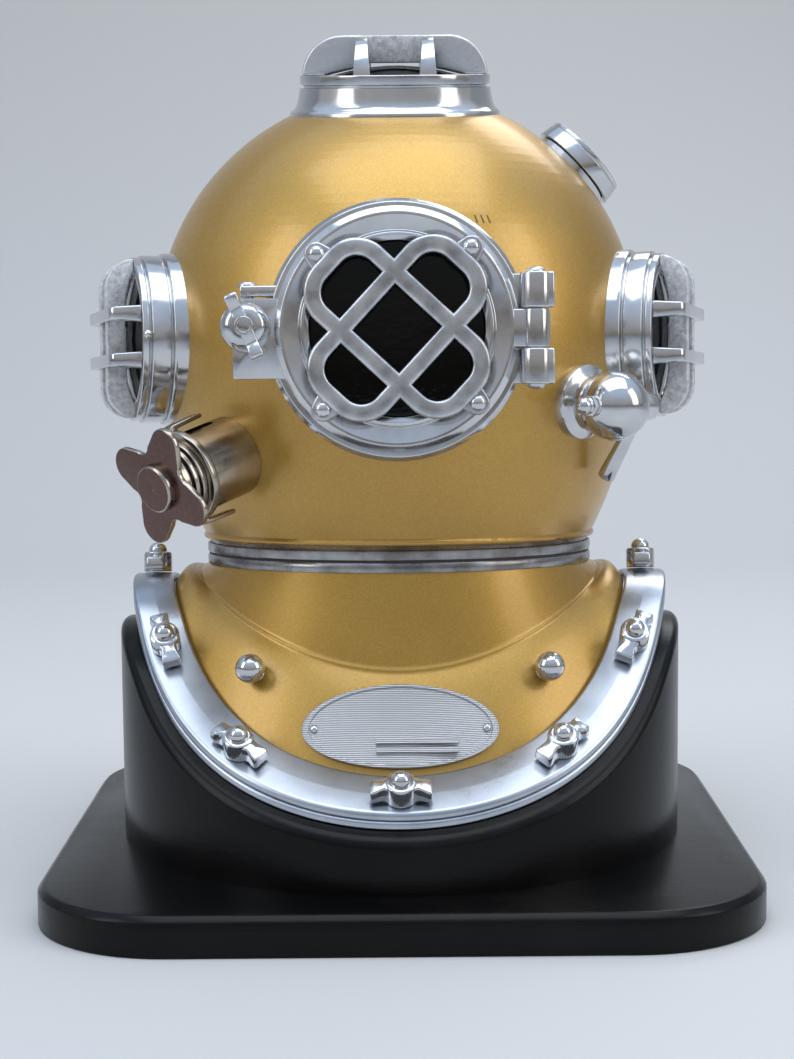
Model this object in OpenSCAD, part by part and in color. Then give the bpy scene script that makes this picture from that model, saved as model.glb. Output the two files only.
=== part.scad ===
// Standard-dress diving helmet resting on its wooden display stand.
// Origin: centre of the underside of the stand's board. +Z is up, the front of the helmet faces -Y.
// Sizes are in millimetres.

/* [Stand] */
// Width and depth of the square board
board_w = 412; // [384:1:440]
// Thickness of the board
board_t = 23; // [15:1:30]
// Corner radius of the board in plan
board_corner_r = 80; // [40:1:100]
// Chamfer along the top edge of the board
board_chamfer = 3.5; // [1:0.5:6]
// Outside radius of the round plinth
plinth_r = 172; // [168:1:184]
// Thickness of the plinth's wall
plinth_wall = 18; // [12:1:24]
// Height of the plinth at its sides, above the board
plinth_side_h = 131; // [115:1:140]
// Height of the saddle's ridge over the shoulders, above the board
ridge_h = 149; // [142:1:156]
// Radius of the saddle's rounded ridge
ridge_r = 69; // [60:1:80]
// Radius of the saddle's hollow front and back slopes
hollow_r = 457; // [400:1:600]
// Slope of the saddle where ridge and hollow meet, in degrees
saddle_slope = 48.2; // [44:0.1:50]
// Radius of the screws that hold the plinth to the board
stand_screw_r = 2.5; // [2:0.25:3]

/* [Breastplate] */
// Outside radius of the flange in plan
flange_r = 164; // [158:0.5:166]
// Inside radius of the brailes in plan
braile_in_r = 139; // [136:0.5:142]
// Thickness of the flange
flange_t = 3.7; // [2.5:0.1:5]
// Thickness of the brailes
braile_t = 5; // [3:0.1:6]
// Number of studs round the flange
stud_count = 12; // [8:2:16]
// Angle from the front stud to the next, in degrees
first_pitch = 37; // [30:1:40]
// Radius of the studs
stud_r = 4.5; // [3.5:0.25:5]
// Height of the wing nuts
nut_h = 12.5; // [8:0.5:14]
// Width of the wing nuts from tip to tip
nut_span = 35; // [28:1:38]
// Wall of the breastplate shell
plate_wall = 2.5; // [1.5:0.1:3]
// Radius of the crease below the collar
crease_r = 125; // [123:0.5:127]
// Height of the crease at the shoulders, above the board
crease_h = 160; // [156:1:163]
// Drop of the crease from the shoulders to the front
crease_drop = 46; // [40:1:52]
// Radius of the two ball-headed posts
ball_r = 8.5; // [6:0.5:10]
// Width of the oval plate
oval_w = 112; // [90:1:120]
// Height of the oval plate
oval_h = 49; // [40:1:54]

/* [Neck] */
// Outside radius of the two neck rings
neck_r = 119.5; // [117:0.5:121]
// Height of each ring's outside band
neck_band = 7.5; // [6:0.5:9]
// Height of the joint between the rings, above the board
neck_h = 170.5; // [166:0.5:176]
// Distance of the neck's axis behind the middle of the stand
neck_back = 18.5; // [14:0.5:22]
// Backward lean of the neck's axis, in degrees
neck_lean = 2.9; // [1:0.1:4]
// Angle that the bonnet turns to free its lugs, in degrees
turn_angle = 45; // [45:1:45]

/* [Bonnet] */
// Radius of the dome
dome_r = 150; // [147:0.5:153]
// Height of the dome's centre above the neck joint
dome_h = 132.9; // [130:0.1:136]
// Wall of the bonnet shell
bonnet_wall = 2.2; // [1.5:0.1:3]
// Radius of the curve that draws the dome's side in below its widest level
flank_r = 266; // [262:1:270]
// Height of the level where the ports' axes lie, from the dome's centre
port_level = -2.9; // [-6:0.1:0]

/* [Ports] */
// Forward turn of the side ports from square to the front, in degrees
side_turn = 16; // [10:1:22]
// Forward tilt of the top port, in degrees
top_tilt = 9.8; // [6:0.1:14]
// Base radius of a side port
side_base_r = 51.8; // [49:0.2:54]
// Base radius of the top port
top_base_r = 64.5; // [62:0.5:66]
// Height of a side port's rim above the edge of its base
side_stand = 26.6; // [24:0.2:30]
// Height of the top port's rim above the edge of its base
top_stand = 24.2; // [22:0.2:28]
// Height of a side port's guard
side_guard_h = 16; // [14:0.5:22]
// Height of the top port's guard
top_guard_h = 23.5; // [20:0.5:28]
// Thickness of the port glasses
glass_t = 5; // [4:0.5:6]

/* [Front door] */
// Outside radius of the door's seat
seat_r = 73; // [71:0.5:75]
// Height of the seat's face above the seat's edge on the dome
seat_stand = 18.7; // [17:0.1:21]
// Outside radius of the door
door_r = 67.6; // [66:0.1:69]
// Thickness of the door
door_t = 10; // [9:0.5:12]
// Radius of the door's opening
door_open_r = 48.5; // [46:0.5:50]
// Distance from the door's centre to the hinge pin
hinge_x = 76.5; // [76:0.1:78]
// Radius of the hinge knuckles
knuckle_r = 9; // [8:0.1:9.4]
// Length of the whole hinge
hinge_len = 61.5; // [54:0.5:66]
// Radius of the hinge pin
pin_r = 3.5; // [2.5:0.25:4]
// Width of each crossed loop of the grille
loop_w = 52.8; // [48:0.2:56]
// Length of each crossed loop of the grille
loop_l = 112; // [106:1:114]
// Width of the grille's bars
grille_bar = 8.3; // [6:0.1:9]
// Distance from the door's centre to the grille screws
grille_screw_r = 60; // [58:0.5:60]

/* [Door clasp] */
// Distance from the door's centre to the clasp bolt
clasp_x = 83.2; // [82:0.1:85]
// Radius of the clasp bolt
clasp_bolt_r = 4; // [3:0.25:4.5]
// Radius of the clasp's domed wing nut
clasp_nut_r = 14; // [12:0.5:15]
// Span of the clasp nut's wings
clasp_span = 38; // [34:1:42]

/* [Exhaust valve] */
// Turn of the exhaust valve from the front, in degrees
exhaust_turn = 44; // [40:1:48]
// Downward tilt of the exhaust valve, in degrees
exhaust_dip = 17; // [10:1:20]
// Radius of the valve's housing
exhaust_r = 23.5; // [21:0.5:26]
// Length of the housing outside the dome
exhaust_len = 34; // [30:1:38]
// Radius of the four-lobed handwheel
wheel_r = 37; // [30:1:40]
// Radius of the valve's stem
stem_r = 4; // [3:0.25:5]

/* [Spitcock] */
// Turn of the spitcock from the front, in degrees
spit_turn = 46.5; // [44:0.5:50]
// Downward tilt of the spitcock, in degrees
spit_dip = 7; // [4:1:10]
// Radius of the spitcock's ball
spit_ball_r = 20; // [17:0.5:22]
// Distance of the ball's centre from the dome's wall
spit_reach = 24; // [22:0.5:28]
// Radius of the plug that turns in the ball
plug_r = 6; // [4:0.5:8]
// Length of the lever
lever_len = 50; // [44:1:56]
// Lean of the lever towards the dome at rest, in degrees
lever_lean = 26; // [18:1:28]

/* [Fittings] */
// Radius of the telephone cup's cap
phone_cap_r = 28; // [25:0.5:31]
// Thread radius of the two rear elbows
elbow_r = 14; // [12:0.5:15]
// Bore radius of the two rear elbows
elbow_bore_r = 9; // [7:0.5:10]
// Bend radius of the two rear elbows
elbow_bend = 30; // [26:1:34]

/* [Clearances] */
// Gap between parts of different bodies that lie face to face
rest_gap = 0.3; // [0.25:0.05:0.4]
// Radial clearance of pins and stems that turn
run_gap = 0.08; // [0.05:0.01:0.1]
// Radial clearance of screws and studs in their holes
screw_gap = 0.15; // [0.1:0.05:0.3]

/* [Hidden] */
$fn = 96;

gold = "goldenrod";
chrome = "silver";
cast = "lightgray";
black = [0.08, 0.08, 0.09];

// Saddle of the stand, seen along X: a rounded ridge that runs into two hollow slopes.
ridge_z = board_t + ridge_h - ridge_r;
hollow_y = (ridge_r + hollow_r) * sin(saddle_slope);
hollow_z = ridge_z + (ridge_r + hollow_r) * cos(saddle_slope);
function saddle_z(y, lift) =
    abs(y) <= (ridge_r + lift) * sin(saddle_slope)
        ? ridge_z + sqrt(pow(ridge_r + lift, 2) - y * y)
        : hollow_z - sqrt(pow(hollow_r - lift, 2) - pow(hollow_y - abs(y), 2));
function saddle_tilt(y, lift) =
    abs(y) <= (ridge_r + lift) * sin(saddle_slope)
        ? -asin(y / (ridge_r + lift))
        : -sign(y) * asin((hollow_y - abs(y)) / (hollow_r - lift));

flange_low = rest_gap;
flange_top = flange_low + flange_t;
braile_top = flange_top + braile_t;
stud_circle = (flange_r + braile_in_r) / 2;
later_pitch = (360 - 2 * first_pitch) / (stud_count - 2);
stud_angles = [for (i = [0 : stud_count - 1]) i == 0 ? 0 : first_pitch + (i - 1) * later_pitch];
braile_split = first_pitch + later_pitch * 2;

// Neck joint, the bayonet between breastplate and bonnet.
neck_z = board_t + neck_h;
gasket_t = 1.8;
spigot_r = neck_r - 8;
lug_reach = 2.6;
lug_h = 4;
lug_span = 38;
lug_low = gasket_t + 0.7;
lug_gap = rest_gap;

dome_bottom = neck_band + 0.5 - dome_h;
seat_sink = 8;
braze_film = 0.15;

// Radius of the bonnet at a level measured from the dome's centre, and depth of the dome under a round base.
function wall_r(level, inset = 0) =
    level > 0 ? sqrt(pow(dome_r - inset, 2) - level * level)
    : dome_r - flank_r + sqrt(pow(flank_r - inset, 2) - level * level);
function cap_depth(base_r) = sqrt(dome_r * dome_r - base_r * base_r);
side_reach = cap_depth(side_base_r) + side_stand;
top_reach = cap_depth(top_base_r) + top_stand;
seat_reach = cap_depth(seat_r) + seat_stand;

// Door, in its own frame: X right, Y up, Z outward from the dome's axis.
door_back = seat_reach + rest_gap;
door_front = door_back + door_t;
pin_z = door_back + door_t / 2;
knuckle_gap = 0.4;
knuckle_mid = 21.3;
seat_bore_r = door_open_r + 5.5;
grille_t = 5;
clasp_y = 1.9;
lug_top = 17.5;
lug_bottom = 26.8;
ear_t = 6;

side_glass_r = side_base_r - 13;
top_glass_r = top_base_r - 19;
rim_inset = 6.6;

exhaust_level = -73;
housing_sink = 22;
cap_h = 13;
wheel_z = exhaust_len + 5 + cap_h + rest_gap;
disc_z = 6 + rest_gap;
disc_t = 3;
spit_level = -42.9;
spit_foot_r = 21.8;
spit_bore_r = 3.5;
spit_sink = 16;

// Stand

module chamfered_slab(w, t, corner, chamfer) {
    outline = [
        [-w / 2, 0], [w / 2, 0], [w / 2, t - chamfer],
        [w / 2 - chamfer, t], [-w / 2 + chamfer, t], [-w / 2, t - chamfer]
    ];
    for (turn = [0, 90])
        rotate([90, 0, turn])
            linear_extrude(height = w - 2 * corner, center = true) polygon(outline);
    for (x = [-1, 1], y = [-1, 1])
        translate([x * (w / 2 - corner), y * (w / 2 - corner), 0]) {
            cylinder(r = corner, h = t - chamfer);
            translate([0, 0, t - chamfer]) cylinder(r1 = corner, r2 = corner - chamfer, h = chamfer);
        }
}

module saddle_profile(lift, deeper) {
    reach = plinth_r + 12;
    tangent_z = ridge_z + (ridge_r + lift) * cos(saddle_slope);
    difference() {
        union() {
            translate([0, ridge_z]) circle(r = ridge_r + lift, $fn = 180);
            translate([-reach, -ridge_r - deeper]) square([2 * reach, tangent_z + ridge_r + deeper]);
        }
        for (side = [-1, 1])
            translate([side * hollow_y, hollow_z]) circle(r = hollow_r - lift, $fn = 360);
    }
}

module saddle_form(lift, wider = 0) {
    rotate([90, 0, 90])
        linear_extrude(height = 2 * (plinth_r + 12 + wider), center = true) saddle_profile(lift, wider);
}

module saddle_layer(low, high, in_r, out_r) {
    intersection() {
        difference() {
            saddle_form(high);
            saddle_form(low, 2);
        }
        difference() {
            cylinder(r = out_r, h = 2 * ridge_h + board_t);
            translate([0, 0, -1]) cylinder(r = in_r, h = 2 * ridge_h + board_t + 2);
        }
    }
}

module at_plinth_screws() {
    for (a = [45 : 90 : 315])
        rotate([0, 0, a]) translate([plinth_r - plinth_wall / 2, 0, 0]) children();
}

module stand_screw(extra, head_h, depth) {
    head_r = stand_screw_r * 2;
    translate([0, 0, -0.01]) cylinder(r = head_r + extra, h = head_h, $fn = 48);
    cylinder(r = stand_screw_r + extra, h = depth, $fn = 48);
}

module stand_board() {
    color(black) difference() {
        chamfered_slab(board_w, board_t, board_corner_r, board_chamfer);
        at_plinth_screws() stand_screw(screw_gap, 4.5, board_t + 1);
    }
}

// The plinth stops short of the saddle's ridge, in a wide rounded brow from slope to slope.
module plinth_brow() {
    brow_r = 113;
    rotate([90, 0, 90]) linear_extrude(height = 2 * (plinth_r + 12), center = true) {
        translate([0, board_t + plinth_side_h - brow_r]) circle(r = brow_r, $fn = 180);
        translate([-plinth_r - 12, 0]) square([2 * plinth_r + 24, board_t + plinth_side_h - brow_r + 60]);
    }
}

module stand_plinth() {
    color(black) difference() {
        intersection() {
            saddle_form(0);
            plinth_brow();
            translate([0, 0, board_t]) difference() {
                cylinder(r = plinth_r, h = ridge_h + 1, $fn = 180);
                translate([0, 0, -1]) cylinder(r = plinth_r - plinth_wall, h = ridge_h + 3, $fn = 180);
            }
        }
        at_plinth_screws() cylinder(r = stand_screw_r + screw_gap, h = board_t + 22);
    }
}

module stand_screws() {
    color("dimgray") at_plinth_screws() translate([0, 0, 0.5]) stand_screw(0, 3.7, board_t + 20);
}

// Breastplate

module at_saddle(angle, radius, lift) {
    y = -radius * cos(angle);
    translate([radius * sin(angle), y, saddle_z(y, lift)])
        rotate([saddle_tilt(y, lift), 0, 0]) children();
}

module breastplate_flange() {
    color(chrome) saddle_layer(flange_low, flange_top, braile_in_r - 6, flange_r);
}

module split_side(front) {
    y_split = -stud_circle * cos(braile_split);
    gap = 0.2;
    size = 4 * plinth_r;
    translate([-size / 2, front ? y_split - gap - size : y_split + gap, 0]) cube([size, size, size]);
}

module braile(front) {
    intersection() {
        difference() {
            saddle_layer(flange_top, braile_top, braile_in_r, flange_r);
            for (a = stud_angles)
                at_saddle(a, stud_circle, flange_top) translate([0, 0, -4])
                    cylinder(r = stud_r + screw_gap, h = braile_t + 12, $fn = 32);
        }
        split_side(front);
    }
}

module braile_front() {
    color(chrome) braile(true);
}

module braile_rear() {
    color(chrome) braile(false);
}

module braile_studs() {
    color(chrome) for (a = stud_angles)
        at_saddle(a, stud_circle, flange_top) translate([0, 0, 0.12]) {
            cylinder(r = stud_r, h = braile_t + nut_h + 1.5, $fn = 32);
            translate([0, 0, braile_t + nut_h + 0.2]) intersection() {
                translate([0, 0, 0.3]) sphere(r = stud_r + 1.2, $fn = 32);
                cylinder(r = stud_r + 2, h = stud_r + 3, $fn = 32);
            }
        }
}

module wing_nut(height, span, bore) {
    boss_r = span * 0.25;
    wing_w = span * 0.34;
    difference() {
        union() {
            cylinder(r = boss_r, h = height, $fn = 48);
            difference() {
                rotate([90, 0, 0]) linear_extrude(height = wing_w, center = true) polygon([
                    [-span / 2, 1], [span / 2, 1], [span / 2, height * 0.72],
                    [span / 2 - 2, height - 0.6], [2 - span / 2, height - 0.6], [-span / 2, height * 0.72]
                ]);
                for (x = [-1, 1], y = [-1, 1])
                    translate([x * (boss_r + wing_w * 0.28), y * (wing_w / 2 + 3.6), 0])
                        cylinder(r = 5, h = height + 1, $fn = 32);
            }
        }
        translate([0, 0, -1]) cylinder(r = bore, h = height + 2, $fn = 32);
    }
}

module braile_nuts() {
    color(chrome) for (i = [0 : stud_count - 1])
        at_saddle(stud_angles[i], stud_circle, flange_top) translate([0, 0, braile_t + 0.12])
            rotate([0, 0, stud_angles[i] + 8 * sin(97 * i)]) wing_nut(nut_h, nut_span, stud_r + screw_gap);
}

// The shell is a loft: rings of points from the flange over the crease to the neck, outside and inside.
loft_steps = 90;
function mix(a, b, t) = a * (1 - t) + b * t;
function saddle_point(a, r, lift) = [r * sin(a), -r * cos(a), saddle_z(-r * cos(a), lift)];
function crease_point(a, r, up) =
    let (rear = max(0, -cos(a)), reach = r - 3.5 * rear)
    [
        reach * sin(a),
        neck_back - reach * cos(a),
        board_t + crease_h - (crease_drop - 14 * rear) * pow(cos(a), 2) + up
    ];
function neck_point(a, r, up) = [
    r * sin(a),
    neck_back - r * cos(a) * cos(neck_lean) + up * sin(neck_lean),
    neck_z + r * cos(a) * sin(neck_lean) + up * cos(neck_lean)
];
function shell_point(a, row, inset) =
    let (
        foot = saddle_point(a, braile_in_r - 0.6 - inset, flange_top + 0.15),
        bend = crease_point(a, crease_r - inset, 0),
        rim = neck_point(a, neck_r - 1.5 - inset, -neck_band)
    )
    row < 0 ? foot
    : row <= 1 ? mix(foot, bend, row) + [0, 0, 5 * sin(180 * row)] * (inset > 0 ? 0.85 : 1)
    : mix(bend, rim, row - 1);
shell_rows = [0, 0.12, 0.25, 0.4, 0.55, 0.7, 0.84, 0.94, 1, 1.05, 1.25, 1.5, 1.75, 2];
bead = 1.4;
function bead_at(row) = row == 1 ? bead : 0;

module ring_loft(rings) {
    n = len(rings[0]);
    m = len(rings);
    points = [for (ring = rings) each ring];
    faces = [
        for (j = [0 : m - 1], i = [0 : n - 1])
            let (
                a = j * n + i,
                b = j * n + (i + 1) % n,
                c = ((j + 1) % m) * n + (i + 1) % n,
                d = ((j + 1) % m) * n + i
            )
            each [[a, c, b], [a, d, c]]
    ];
    polyhedron(points, faces, convexity = 6);
}

module breastplate_shell() {
    steps = [for (i = [0 : loft_steps - 1]) 360 * i / loft_steps];
    last = len(shell_rows) - 1;
    color(gold) ring_loft([
        for (k = [0 : last]) [for (a = steps) shell_point(a, shell_rows[k], -bead_at(shell_rows[k]))],
        for (k = [last : -2 : 0]) [for (a = steps) shell_point(a, shell_rows[k], plate_wall)]
    ]);
}

module at_neck() {
    translate([0, neck_back, neck_z]) rotate([-neck_lean, 0, 0]) children();
}

module lug_sectors(in_r, out_r, low, high, phase) {
    for (a = [0 : 90 : 270])
        rotate([0, 0, a + phase]) rotate_extrude(angle = lug_span, $fn = 120)
            translate([in_r, low]) square([out_r - in_r, high - low]);
}

module neck_ring() {
    color(chrome) at_neck() {
        rotate_extrude($fn = 180) polygon([
            [spigot_r - 3, -neck_band], [neck_r - 0.8, -neck_band], [neck_r, -neck_band + 0.8],
            [neck_r, -gasket_t - 0.6], [neck_r - 0.6, -gasket_t], [spigot_r, -gasket_t],
            [spigot_r, lug_low + 2 * lug_h + lug_gap], [spigot_r - 3, lug_low + 2 * lug_h + lug_gap]
        ]);
        lug_sectors(spigot_r - 1, spigot_r + lug_reach, lug_low + lug_h + lug_gap,
            lug_low + 2 * lug_h + lug_gap, -lug_span / 2);
    }
}

module neck_gasket() {
    color("saddlebrown") at_neck() rotate_extrude($fn = 180)
        translate([spigot_r + 0.3, -gasket_t]) square([neck_r - spigot_r - 1.2, gasket_t]);
}

module ball_posts() {
    color(chrome) for (side = [-1, 1])
        at_chest(side * 39, 0.5) {
            translate([0, 0, 0.25]) cylinder(r = ball_r * 0.5, h = ball_r, $fn = 32);
            translate([0, 0, ball_r + 0.6]) sphere(r = ball_r, $fn = 48);
        }
}

// A place on the chest: angle from the front and share of the way from the flange to the crease.
module at_chest(angle, row) {
    p = shell_point(angle, row, 0);
    up = shell_point(angle, row + 0.08, 0) - shell_point(angle, row - 0.08, 0);
    along = shell_point(angle + 2, row, 0) - shell_point(angle - 2, row, 0);
    n = cross(along, up);
    normal = n / norm(n);
    translate(p) rotate([0, acos(normal[2]), atan2(normal[1], normal[0])]) children();
}

module at_oval() {
    at_chest(0, 0.42) rotate([0, 0, 90]) children();
}

module oval(w, h, t) {
    scale([w / h, 1, 1]) cylinder(r = h / 2, h = t, $fn = 96);
}

bow_r = 260;
oval_t = 1.6;
rivet_r = 1.4;

module bowed(top) {
    rotate([90, 0, 0]) translate([0, top - bow_r, 0])
        cylinder(r = bow_r, h = 3 * oval_h, center = true, $fn = 360);
}

module at_rivets() {
    turn = asin((oval_w / 2 - 7) / bow_r);
    for (side = [-1, 1])
        translate([0, 0, oval_t - bow_r]) rotate([0, side * turn, 0]) translate([0, 0, bow_r]) children();
}

module oval_plate() {
    rim_w = 3;
    rim_h = 0.8;
    slab = 20;
    color(cast) at_oval() difference() {
        intersection() {
            translate([0, 0, -slab / 2]) oval(oval_w, oval_h, slab);
            bowed(oval_t + rim_h);
        }
        bowed(0.2);
        difference() {
            translate([0, 0, -slab / 2]) oval(oval_w - 2 * rim_w, oval_h - 2 * rim_w, slab);
            bowed(oval_t);
        }
        at_rivets() cylinder(r = rivet_r + 0.1, h = 8, center = true, $fn = 24);
    }
}

module plate_rivets() {
    head_r = 2.4;
    color(chrome) at_oval() at_rivets() {
        translate([0, 0, 0.1 - oval_t]) cylinder(r = rivet_r, h = oval_t, $fn = 24);
        intersection() {
            translate([0, 0, -0.6]) sphere(r = head_r, $fn = 24);
            translate([0, 0, 0.08]) cylinder(r = head_r + 1, h = head_r, $fn = 24);
        }
    }
}

// Bonnet

module at_dome() {
    at_neck() translate([0, 0, dome_h]) children();
}

module at_port(turn, level) {
    at_dome() translate([0, 0, level]) rotate([0, 0, turn]) rotate([90, 0, 0]) children();
}

// Below its widest level one long arc draws the dome's side in.
module flank_outline(inset) {
    intersection() {
        translate([dome_r - flank_r, 0]) circle(r = flank_r - inset, $fn = 480);
        translate([0, dome_bottom]) square([2 * dome_r, -dome_bottom]);
    }
}

// The shell's dome is turned in fine steps, so that every bore cuts it cleanly.
module bonnet_form(inset) {
    r = dome_r - inset;
    steps = 36;
    rotate_extrude($fn = 180) {
        polygon([[0, 0], for (i = [0 : steps]) [r * cos(90 * i / steps), r * sin(90 * i / steps)]]);
        flank_outline(inset);
    }
}

// The same form with a true sphere on top, a braze film larger: all that stands on the bonnet is
// cut to it.
module dome_seat_form() {
    rotate_extrude($fn = 180) {
        intersection() {
            circle(r = dome_r + braze_film, $fn = 240);
            square([2 * dome_r, 2 * dome_r]);
        }
        flank_outline(-braze_film);
    }
}

module bonnet_shell() {
    bead_r = 2.2;
    through = 30;
    color(gold) difference() {
        union() {
            at_dome() difference() {
                bonnet_form(0);
                translate([0, 0, -0.01]) bonnet_form(bonnet_wall);
            }
            at_dome() translate([0, 0, dome_bottom + bead_r])
                rotate_extrude($fn = 180) translate([wall_r(dome_bottom) + 0.8, 0]) circle(r = bead_r, $fn = 24);
        }
        at_top() cylinder(r = top_glass_r, h = 2 * dome_r);
        for (side = [-1, 1]) at_side(side) cylinder(r = side_glass_r, h = 2 * dome_r);
        at_door() cylinder(r = seat_bore_r, h = 2 * dome_r);
        at_exhaust() translate([0, 0, -through]) cylinder(r = exhaust_r - 6, h = 2 * through);
        at_spitcock() translate([0, 0, -through]) cylinder(r = 4, h = 2 * through);
        at_phone_cup() translate([0, 0, -through]) cylinder(r = cup_bore_r + 0.5, h = 2 * through);
        for (side = [-1, 1])
            at_elbow(side) translate([0, 0, -through]) cylinder(r = elbow_bore_r, h = 2 * through);
    }
}

module bonnet_ring() {
    shell_in_r = wall_r(dome_bottom, bonnet_wall);
    ring_in_r = spigot_r + lug_reach + 0.6;
    color(chrome) at_neck() {
        rotate_extrude($fn = 180) polygon([
            [ring_in_r, rest_gap], [neck_r - 0.6, rest_gap], [neck_r, rest_gap + 0.6],
            [neck_r, neck_band - 0.8], [neck_r - 0.8, neck_band],
            [shell_in_r - 0.2, neck_band], [shell_in_r - 0.2, neck_band + 5], [ring_in_r, neck_band + 5]
        ]);
        lug_sectors(spigot_r + 0.6, ring_in_r + 1, lug_low, lug_low + lug_h, -lug_span / 2);
    }
}

// Ports: each seat is turned, its glass lies in a rebate at the rim and its guard stands on the rim.
module turned_seat(base_r, glass_r, reach, outline) {
    foot = cap_depth(base_r) - seat_sink;
    rotate_extrude($fn = 120) polygon(concat(
        [[glass_r, foot], [base_r, foot]],
        outline,
        [[glass_r + 2.2, reach], [glass_r + 2.2, reach - glass_t], [glass_r, reach - glass_t]]
    ));
}

// Rim, band and base ring of a side port, parted by two grooves.
function stepped_outline(base_r, reach, stand) =
    let (
        band_r = base_r - 1.4,
        rim_r = base_r - 2.6,
        base_top = reach - stand * 0.68,
        band_top = reach - stand * 0.2
    )
    [
        [base_r, base_top - 1], [base_r - 0.8, base_top], [band_r - 1, base_top],
        [band_r - 1, base_top + 1.2], [band_r, base_top + 1.8], [band_r, band_top - 0.8],
        [rim_r - 1, band_top], [rim_r - 1, band_top + 1], [rim_r, band_top + 1.6],
        [rim_r, reach - 1], [rim_r - 1, reach]
    ];

// Rim of the top port and one hollow curve below it that spreads to the base.
function spread_outline(base_r, reach, stand) =
    let (
        rim_r = base_r - rim_inset,
        band_top = reach - 7.5,
        edge = reach - stand + 2,
        steps = 8
    )
    [
        [base_r, edge],
        for (i = [0 : steps])
            let (t = i / steps)
            [rim_r - 1 + (rim_inset + 0.2) * pow(1 - t, 2.4), edge + 0.8 + (band_top - edge - 0.8) * t],
        [rim_r - 1.6, band_top + 0.4], [rim_r - 1.6, band_top + 1.2], [rim_r, band_top + 1.8],
        [rim_r, reach - 1], [rim_r - 1, reach]
    ];

module port_glass(glass_r, reach) {
    translate([0, 0, reach - glass_t + 0.1]) cylinder(r = glass_r + 2, h = glass_t - 0.6);
}

module arch_profile(half, height, corner, low) {
    difference() {
        intersection() {
            translate([-half, 0]) square([2 * half, height]);
            union() {
                translate([-half + corner, -corner]) square([2 * (half - corner), height + corner]);
                for (side = [-1, 1])
                    translate([side * (half - corner), height - corner]) circle(r = corner, $fn = 96);
                translate([-half, 0]) square([2 * half, max(height - corner, 0.01)]);
            }
        }
        polygon([
            [-half + corner * 0.28, -1], [-half + corner * 0.28, 0], [-half * 0.62, low], [half * 0.62, low],
            [half - corner * 0.28, 0], [half - corner * 0.28, -1]
        ]);
    }
}

// Two deep arches side by side, crossed by two narrower straps.
module port_guard(rim_r, reach, height, arch_at, strap_at) {
    arch_t = 7;
    strap_w = 8.3;
    corner = height + 4;
    arch_half = sqrt(pow(rim_r - 1, 2) - pow(arch_at + arch_t / 2, 2));
    strap_half = sqrt(pow(rim_r - 1, 2) - pow(strap_at + strap_w / 2, 2));
    translate([0, 0, reach]) {
        for (side = [-1, 1])
            translate([0, side * arch_at, 0]) rotate([90, 0, 0])
                linear_extrude(height = arch_t, center = true)
                    arch_profile(arch_half, height, min(corner, arch_half - 1), height * 0.32);
        for (side = [-1, 1])
            translate([side * strap_at, 0, 0]) rotate([90, 0, 90])
                linear_extrude(height = strap_w, center = true)
                    arch_profile(strap_half, height + 1, min(corner, strap_half - 1), height * 0.66);
    }
}

module at_top() {
    at_dome() rotate([top_tilt, 0, 0]) children();
}

module at_side(side) {
    at_port(side * (90 - side_turn), port_level) children();
}

module top_port_seat() {
    color(chrome) difference() {
        at_top() turned_seat(top_base_r, top_glass_r, top_reach,
            spread_outline(top_base_r, top_reach, top_stand));
        at_dome() dome_seat_form();
    }
}

module top_port_glass() {
    color("black") at_top() port_glass(top_glass_r, top_reach);
}

module top_port_guard() {
    color(cast) at_top() port_guard(top_base_r - rim_inset, top_reach, top_guard_h, 14, 19.5);
}

module side_port_seat(side) {
    color(chrome) difference() {
        at_side(side) turned_seat(side_base_r, side_glass_r, side_reach,
            stepped_outline(side_base_r, side_reach, side_stand));
        at_dome() dome_seat_form();
    }
}

module side_port_glass(side) {
    color("black") at_side(side) port_glass(side_glass_r, side_reach);
}

module side_port_guard(side) {
    color(cast) at_side(side) rotate([0, 0, 90])
        port_guard(side_base_r - 2.6, side_reach, side_guard_h, 12, 13.5);
}

module left_port_seat() side_port_seat(-1);
module left_port_glass() side_port_glass(-1);
module left_port_guard() side_port_guard(-1);
module right_port_seat() side_port_seat(1);
module right_port_glass() side_port_glass(1);
module right_port_guard() side_port_guard(1);

// Front door

module at_door() {
    at_port(0, port_level) children();
}

module upright(x, z, low, high, r) {
    translate([x, high, z]) rotate([90, 0, 0]) cylinder(r = r, h = high - low, $fn = 48);
}

module door_seat() {
    half = hinge_len / 2;
    mid = knuckle_mid / 2 + knuckle_gap;
    strap_z = seat_reach - 10;
    ear_x = clasp_x - 3;
    foot = cap_depth(seat_r) - seat_sink;
    color(chrome) difference() {
        union() {
            difference() {
                at_door() {
                    rotate_extrude($fn = 180) polygon([
                        [seat_bore_r, foot], [seat_r, foot], [seat_r, seat_reach - 5], [seat_r - 1, seat_reach - 3],
                        [seat_r - 2.5, seat_reach], [seat_bore_r, seat_reach]
                    ]);
                    translate([-ear_x - 7, lug_top + 1.5, seat_reach - 14]) cube([ear_x - 48, ear_t, 13.6]);
                    translate([-ear_x - 10, -15, seat_reach - 14]) cube([ear_x - 53, ear_t, 13.6]);
                }
                at_dome() dome_seat_form();
            }
            at_door() {
                for (s = [-1, 1]) {
                    low = s > 0 ? mid : -half;
                    upright(hinge_x, pin_z, low, low + half - mid, knuckle_r);
                    translate([seat_r - 12, low, strap_z]) cube([hinge_x - seat_r + 12, half - mid, 9.7]);
                }
            }
        }
        at_door() {
            translate([0, 0, foot - 1]) cylinder(r = seat_bore_r, h = seat_reach, $fn = 180);
            upright(hinge_x, pin_z, -mid, mid, knuckle_r + 0.6);
            upright(hinge_x, pin_z, -half - 1, half + 1, pin_r + screw_gap);
            upright(-clasp_x, seat_reach - 8, -19, lug_top + 9, pin_r + screw_gap);
        }
    }
}

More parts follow.
